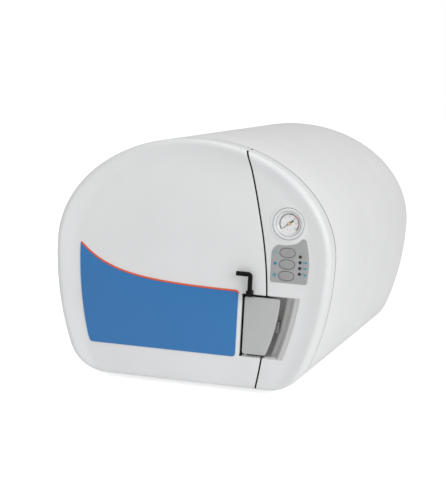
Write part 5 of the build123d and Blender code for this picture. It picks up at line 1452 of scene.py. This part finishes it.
def gauge_cone():
    """The pale cone between the rim and the dial, with a thin raised grey ring at its foot: the grey is painted shade
    of the groove between rim and cone.
    """
    section = [(17.6, GAUGE_FRONT + 3.0), (17.3, GAUGE_FRONT + 2.9), (16.6, GAUGE_FRONT + 3.2),
               (14.9, DIAL_FRONT - 1.3), (14.6, DIAL_FRONT - 0.9), (DIAL_R, DIAL_FRONT - 0.5),
               (DIAL_R, DIAL_FRONT + 0.2), (17.6, DIAL_FRONT + 0.2)]
    cone = turned("cone", section, *GAUGE, gauge_white, closed=True, steps=128)
    # grey ring: painted shade of the groove between the rim and the cone
    line = turned("line", [(17.9, GAUGE_FRONT + 1.6), (17.9, GAUGE_FRONT + 1.24), (17.45, GAUGE_FRONT + 1.45),
                           (17.2, GAUGE_FRONT + 1.75), (17.2, GAUGE_FRONT + 2.2)], *GAUGE, panel_grey, closed=True,
                  steps=128)
    return joined("gauge_cone", [cone, line])


add_piece(gauge_rim(), "cabinet", "aluminium", "gauge_bezel")
add_piece(gauge_cone(), "cabinet", "aluminium")


def dial_arc(name, start, stop, outer, inner, material):
    """A flat band round the dial between two angles in degrees."""
    a0, a1 = math.radians(start), math.radians(stop)
    outside = arc(GAUGE, outer, outer, a0, a1, 60)
    inside_line = arc(GAUGE, inner, inner, a1, a0, 60)
    line = np.vstack([outside, inside_line])
    if a1 < a0:
        line = line[::-1]
    return soft_plate(name, line, DIAL_FRONT - 0.09, DIAL_FRONT + 0.2, 0.015, material, steps=1)


def dial_number(text, x, z, size, material):
    """A plain number as a thin mesh, upright, centred at x and z."""
    curve = bpy.data.curves.new("number", "FONT")
    curve.body, curve.size, curve.extrude = text, size * MM, 0.03 * MM
    curve.align_x, curve.align_y = "CENTER", "CENTER"
    letter = bpy.data.objects.new("number", curve)
    bpy.context.scene.collection.objects.link(letter)
    bpy.context.view_layer.update()
    mesh = bpy.data.meshes.new_from_object(letter.evaluated_get(bpy.context.evaluated_depsgraph_get()))
    bpy.data.objects.remove(letter)
    mesh.transform(Matrix.Translation(place(x, DIAL_FRONT - 0.05, z)) @ Matrix.Rotation(math.pi / 2, 4, "X"))
    mesh.materials.clear()
    mesh.materials.append(material)
    made = bpy.data.objects.new("number", mesh)
    bpy.context.scene.collection.objects.link(made)
    return made


def dial_print():
    """The arc, its marks, the numbers and two small dots."""
    end = NEEDLE_REST - NEEDLE_SWEEP
    red_from = NEEDLE_REST - NEEDLE_SWEEP * 0.62
    parts = [dial_arc("arc_black", red_from, NEEDLE_REST, 13.9, 12.8, print_black),
             dial_arc("arc_red", end + 22, red_from, 13.9, 12.7, print_red),
             dial_arc("arc_end", end, end + 22, 13.9, 12.7, print_black)]
    middle = tuple(place(GAUGE[0], DIAL_FRONT - 0.05, GAUGE[1]))
    for count, length, width in ((7, 1.9, 0.35), (31, 1.0, 0.18)):
        marks = grown(empty_mesh("marks"), SCALE_MARKS, Middle=middle, Radius=(12.9 - length / 2) * MM,
                      Start=NEEDLE_REST, Step=-NEEDLE_SWEEP / (count - 1), Count=count, Length=length * MM,
                      Width=width * MM, Thickness=0.09 * MM, Material=print_black)
        parts.append(marks)
    for i, text in enumerate(("0", "1", "2", "3", "4", "5", "6")):
        a = math.radians(NEEDLE_REST - NEEDLE_SWEEP * i / 6)
        parts.append(dial_number(text, GAUGE[0] + 9.3 * math.cos(a), GAUGE[1] + 9.3 * math.sin(a), 3.2, print_teal))
    for dx in (-1.9, 2.4):
        dot = ellipse(GAUGE + (dx, -8.6), 0.9, 0.55, 16)
        parts.append(soft_plate("dot", dot, DIAL_FRONT - 0.09, DIAL_FRONT + 0.2, 0.015, hub_gold, steps=1))
    return joined("dial_print", parts)


add_piece(dial_print(), "cabinet", "dial_white")


def gauge_hand():
    """The needle: a tapered blade with a broad dark tail, and a brass hub."""
    low = depth_of(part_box("gauge_needle")[0].y)
    outline_points = [(-7.0, -1.1), (-2.4, -0.75), (0, -0.5), (12.3, -0.14), (12.5, 0.0), (12.3, 0.14), (0, 0.5),
                      (-2.4, 0.75), (-7.0, 1.1), (-7.4, 0.0)]
    a = math.radians(NEEDLE_REST)
    turn = np.array([[math.cos(a), math.sin(a)], [-math.sin(a), math.cos(a)]])
    line = np.array(outline_points) @ turn + GAUGE
    blade = soft_plate("blade", line, low + 0.45, low + 0.9, 0.08, print_black, steps=2)
    section = [(1.05, low + 1.3), (2.2, low + 1.3), (2.2, low + 0.35), (1.95, low + 0.1), (1.5, low), (0.3, low)]
    hub = turned("hub", section, *GAUGE, hub_gold, steps=40)
    return joined("gauge_hand", [blade, hub])


add_piece(gauge_hand(), "needle", "black_plastic", "gauge_needle")

# %% [markdown]
# ## Perforated trays
# Each tray is a shallow pan of thin stainless sheet whose floor is drilled all over so that steam passes. The pan's
# wall is made in code. The floor comes from a Geometry Nodes tree: one square tile with a round hole is set on a grid
# of points, the tiles are merged to one sheet, and the sheet is drawn out to its thickness.

# %% Perforated sheet tree
def perforated_sheet_tree():
    """A sheet of square tiles with round holes, added to the mesh that comes in."""
    tree, given, out = geometry_tree("perforated_sheet", [
        ("Middle", "Vector", (0, 0, 0)), ("Columns", "Int", 14), ("Rows", "Int", 42), ("Pitch", "Float", 0.01),
        ("Hole radius", "Float", 0.0026), ("Thickness", "Float", 0.001), ("Material", "Material", None)])
    square = node(tree, "GeometryNodeCurvePrimitiveQuadrilateral", Width=given["Pitch"],
                  Height=given["Pitch"]).outputs[0]
    hole = node(tree, "GeometryNodeCurvePrimitiveCircle", Resolution=12, Radius=given["Hole radius"]).outputs[0]
    both = node(tree, "GeometryNodeJoinGeometry")
    tree.links.new(square, both.inputs[0])
    tree.links.new(hole, both.inputs[0])
    tile = node(tree, "GeometryNodeFillCurve", i0=both.outputs[0]).outputs[0]
    sizes = [math_node(tree, "MULTIPLY", math_node(tree, "SUBTRACT", given[n], 1), given["Pitch"])
             for n in ("Columns", "Rows")]
    grid = node(tree, "GeometryNodeMeshGrid", i0=sizes[0], i1=sizes[1], i2=given["Columns"],
                i3=given["Rows"]).outputs[0]
    grid = node(tree, "GeometryNodeTransform", i0=grid, Translation=given["Middle"]).outputs[0]
    tiles = node(tree, "GeometryNodeInstanceOnPoints", Points=grid, Instance=tile).outputs[0]
    flat = node(tree, "GeometryNodeRealizeInstances", i0=tiles).outputs[0]
    flat = node(tree, "GeometryNodeMergeByDistance", Geometry=flat, Distance=1e-5).outputs[0]
    up = node(tree, "ShaderNodeCombineXYZ", Z=given["Thickness"]).outputs[0]
    drawn = node(tree, "GeometryNodeExtrudeMesh", Mesh=flat, Offset=up, Individual=False).outputs[0]
    under = node(tree, "GeometryNodeFlipFaces", i0=flat).outputs[0]
    whole = node(tree, "GeometryNodeJoinGeometry")
    for part in (drawn, under, given["Geometry"]):
        tree.links.new(part, whole.inputs[0])
    finish_tree(tree, whole.outputs[0], given["Material"], out)
    return tree


PERFORATED = perforated_sheet_tree()
print("tree", PERFORATED.name)


# %% Trays
def tray_pan(name, node_name):
    """The pan's wall with a rounded lip, then the drilled floor."""
    low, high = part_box(node_name)
    pitch, sheet = 10.0, 1.0
    x0, x1, y0, y1 = low.x / MM, high.x / MM, depth_of(low.y), depth_of(high.y)
    z0, z1 = low.z / MM, high.z / MM
    columns, rows = int((x1 - x0 - 6) / pitch), int((y1 - y0 - 6) / pitch)
    middle = ((x0 + x1) / 2, (y0 + y1) / 2)

    def loop(half_x, half_y, r, z):
        corners = [(-half_x, -half_y), (half_x, -half_y), (half_x, half_y), (-half_x, half_y)]
        return [place(middle[0] + x, middle[1] + y, z) for x, y in round_corners(corners, [r] * 4, steps=6)]

    w, d = (x1 - x0) / 2, (y1 - y0) / 2
    tile_w, tile_d = columns * pitch / 2, rows * pitch / 2
    rings = [loop(w - 1.2, d - 1.2, 7, z0), loop(w - 0.3, d - 0.3, 7.6, z0 + 0.5), loop(w, d, 8, z0 + 1.4),
             loop(w, d, 8, z1 - 0.3), loop(w - 0.3, d - 0.3, 7.7, z1), loop(w - sheet + 0.3, d - sheet + 0.3, 7.3, z1),
             loop(w - sheet, d - sheet, 7, z1 - 0.3), loop(w - sheet, d - sheet, 7, z0 + 2.2),
             loop(w - 2.2, d - 2.2, 6, z0 + sheet), loop(tile_w, tile_d, 0.02, z0 + sheet),
             loop(tile_w, tile_d, 0.02, z0)]
    wall = rings_object(name, rings, stainless_lengthwise, close_section=True)
    return grown(wall, PERFORATED, Middle=tuple(place(*middle, z0)), Columns=columns, Rows=rows, Pitch=pitch * MM,
                 Hole_radius=2.6 * MM, Thickness=sheet * MM, Material=stainless_lengthwise)


for name in ("tray_bottom", "tray_middle", "tray_top"):
    add_piece(tray_pan(name.replace("tray_", "drilled_tray_"), name), "cabinet", "stainless", name)

# %% [markdown]
# ## Louvres and screws at the back
# The back panel breathes through pressed louvres and is held by pan-head screws with a cross recess. Both repeat, so
# both come from one small tree that sets a finished part on each point and turns it by its own angle, with a fixed
# seed. The part itself is made once in code.

# %% Parts on points tree
def parts_on_points_tree():
    """Sets a part on every point of the mesh, turned about Y by a random angle up to the largest turn."""
    tree, given, out = geometry_tree("parts_on_points", [
        ("Part", "Object", None), ("Largest turn", "Float", 0.0), ("Seed", "Int", 3), ("Material", "Material", None)])
    part = node(tree, "GeometryNodeObjectInfo", Object=given["Part"]).outputs["Geometry"]
    chance = node(tree, "FunctionNodeRandomValue", {"data_type": "FLOAT"}, Seed=given["Seed"])
    angle = math_node(tree, "MULTIPLY", chance.outputs[1], given["Largest turn"])
    turn = node(tree, "ShaderNodeCombineXYZ", Y=angle).outputs[0]
    set_on = node(tree, "GeometryNodeInstanceOnPoints", Points=given["Geometry"], Instance=part,
                  Rotation=turn).outputs[0]
    finish_tree(tree, set_on, given["Material"], out)
    return tree


PARTS_ON_POINTS = parts_on_points_tree()


def repeated(name, part, points, material, turn=0.0):
    """The part set on every point, as one mesh. The part itself is taken away."""
    made = grown(empty_mesh(name, points), PARTS_ON_POINTS, Part=part, Largest_turn=turn, Seed=3, Material=material)
    bpy.data.objects.remove(part)
    return made


print("tree", PARTS_ON_POINTS.name)


# %% Cross-recess screws
def screw_part(head_r, head_h, shank_r, shank, material):
    """A pan head with a cross recess and a plain shank, at the origin. Its head faces the back."""
    flat = CREST_Y / MM
    section = [(shank_r, -shank - flat), (shank_r, -flat), (head_r, -flat), (head_r, head_h * 0.35 - flat),
               (head_r * 0.93, head_h * 0.68 - flat), (head_r * 0.72, head_h * 0.92 - flat),
               (head_r * 0.4, head_h - flat)]
    head = turned("screw", section, 0, 0, material, steps=32)
    cutters = [block((-a, head_h * 0.35 - flat, -b), (a, head_h + 1 - flat, b), "cut", material, edge=0.05, steps=1)
               for a, b in ((head_r * 0.6, head_r * 0.13), (head_r * 0.13, head_r * 0.6))]
    for cutter in cutters:
        cut = head.modifiers.new("recess", "BOOLEAN")
        cut.operation, cut.object, cut.solver = "DIFFERENCE", cutter, "EXACT"
    apply_modifiers(head)
    for cutter in cutters:
        bpy.data.objects.remove(cutter)
    shade(head, 32)
    return head


def screws_for(name, node_name, head_r, head_h, shank_r):
    """Screws at the places of a CAD node's own screws. Their heads face the back."""
    boxes = islands(node_name)
    head_face = boxes[0][1][1] - head_h
    shank = head_face - boxes[0][0][1]
    points = [place((low[0] + high[0]) / 2, head_face, (low[2] + high[2]) / 2) for low, high in boxes]
    part = screw_part(head_r, head_h, shank_r, shank, zinc_plate)
    return repeated(name, part, points, zinc_plate, turn=1.5)


add_piece(screws_for("back_screws", "back_panel_screws", 4.0, 2.0, 2.0), "cabinet", "zinc_steel", "back_panel_screws")
add_piece(screws_for("cover_screw_heads", "cover_screws", 4.0, 2.2, 2.0), "door", "zinc_steel", "cover_screws")


# %% Louvre hoods
def louvre_hood(length, height, rise, sheet, material):
    """A pressed hood, closed at its top and ends and open below."""
    rows = []
    flat = CREST_Y / MM
    for v in np.linspace(0, 1, 9):
        row = []
        for u in np.linspace(-1, 1, 25):
            lift = rise * math.sin(v * math.pi / 2) ** 0.8 * (1 - abs(u) ** 8)
            row.append(place(u * length / 2, lift - flat, height * (0.5 - v)))
        rows.append(row)
    made = grid_object("hood", rows, material)
    return thickened(made, sheet, offset=1.0)


def louvres():
    """Seven rows on each side, over the panel's slots."""
    back_face = depth_of(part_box("back_panel")[1].y)
    chamber_x = centre_of("chamber_flange")[0]
    points = [place(chamber_x + side * 100, back_face, WAIST_Z + 8.0 * (row - 3.5) + 2.4)
              for side in (-1, 1) for row in range(7)]
    return repeated("louvre_hoods", louvre_hood(63.0, 7.4, 2.6, 0.8, powder_coat), points, powder_coat)


add_piece(louvres(), "cabinet", "white_paint")

# %% [markdown]
# ## Feet and hose nozzle
# The four feet are turned rubber with ribs that grip the bench, and the hose nozzle has three barbs and a flat
# shoulder that the hose stops against. Both are turned pieces, one about an upright axis and one front to back.

# %% Feet
def rubber_feet():
    """Turned feet with three grip ribs."""
    feet = []
    for low, high in islands("rubber_feet"):
        x, depth = (low[0] + high[0]) / 2, (low[1] + high[1]) / 2
        section = [(0.4, 1.6), (3.0, 1.6), (3.4, 0.0), (4.6, 0.0), (5.0, 1.2), (6.2, 1.2), (6.6, 0.0), (7.8, 0.0),
                   (8.2, 1.2), (9.2, 1.2), (9.6, 0.0), (11.0, 0.0), (11.7, 0.4), (12.0, 1.1), (12.0, 6.8), (11.7, 7.6),
                   (11.0, 8.0), (4.0, 8.0), (4.0, high[2] - 3), (5.0, high[2] - 3), (4.6, high[2] - 0.6),
                   (3.4, high[2]), (0.4, high[2])]
        feet.append(turned_upright("foot", section, x, depth, rubber_black))
    return joined("ribbed_feet", feet)


add_piece(rubber_feet(), "cabinet", "rubber", "rubber_feet")


# %% Hose nozzle
def hose_nozzle():
    """Shoulder, neck and a barbed spout with an open bore."""
    x, z = centre_of("outlet_nozzle")
    low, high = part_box("outlet_nozzle")
    end, start = depth_of(high.y), depth_of(low.y)
    seat = end - 22
    section = [(3.0, start), (10.0, start), (10.0, seat - 3.5), (6.5, seat - 3.5), (6.5, seat - 0.4), (6.1, seat),
               (4.7, seat)]
    for barb in range(3):
        at = seat + 5 + 5.4 * barb
        section += [(4.55, at), (5.0, at + 0.15), (4.95, at + 1.0), (4.3, at + 4.6)]
    section += [(4.1, end - 0.5), (3.7, end), (3.0, end)]
    return turned("barbed_nozzle", section, x, z, turned_brass, steps=48, closed=True)


add_piece(hose_nozzle(), "cabinet", "brass", "outlet_nozzle")

# %% [markdown]
# ## Floor and light
# The machine stands on a plain pale floor that runs out into a pale background. Two large soft lights, one broad from
# the right and in front and one weaker from the left, shape the rim; the pale surroundings fill the rest.

# %% Stage
floor_material = coated("studio_floor", (0.93, 0.93, 0.93), 0.7, ripple=40, grain=300, depth=0.01, drift=0.004,
                        dust=0.0)
floor_shader = next(n for n in floor_material.node_tree.nodes if n.type == "BSDF_PRINCIPLED")
floor_shader.inputs["Emission Color"].default_value = (1, 1, 1, 1)
to_camera = node(floor_material.node_tree, "ShaderNodeLightPath").outputs["Is Camera Ray"]
floor_material.node_tree.links.new(spread(floor_material.node_tree, to_camera, 0, 1, 0.06, 0.7),
                                   floor_shader.inputs["Emission Strength"])
floor = mesh_object("floor", [(-9, -9, 0), (9, -9, 0), (9, 9, 0), (-9, 9, 0)], [(0, 1, 2, 3)], floor_material,
                    fix=False)


def soft_light(name, at, target, width, height, power):
    """A large rectangular light that faces the target."""
    light = bpy.data.lights.new(name, "AREA")
    light.shape = "RECTANGLE"
    light.size, light.size_y, light.energy = width, height, power
    made = bpy.data.objects.new(name, light)
    made.location = at
    made.rotation_euler = (Vector(target) - Vector(at)).to_track_quat("-Z", "Y").to_euler()
    bpy.context.scene.collection.objects.link(made)


soft_light("broad_right", (2.7, -1.9, 1.5), (0, 0, 0.18), 1.8, 1.8, 35)
soft_light("weak_left", (-2.2, -1.8, 1.4), (0, -0.2, 0.18), 1.6, 1.6, 0.8)
soft_light("top_strip", (0.2, -0.7, 2.6), (0, 0, 0.2), 1.6, 1.2, 14)
world = bpy.data.worlds.new("surroundings")
world.use_nodes = True
sky = world.node_tree.nodes["Background"]
sky.inputs["Color"].default_value = (1, 1, 1, 1)
seen = spread(world.node_tree, node(world.node_tree, "ShaderNodeLightPath").outputs["Is Camera Ray"], 0, 1, 0.52, 1.0)
world.node_tree.links.new(seen, sky.inputs["Strength"])
bpy.context.scene.world = world
bpy.context.scene.view_settings.view_transform = "Standard"
print("stage ready")
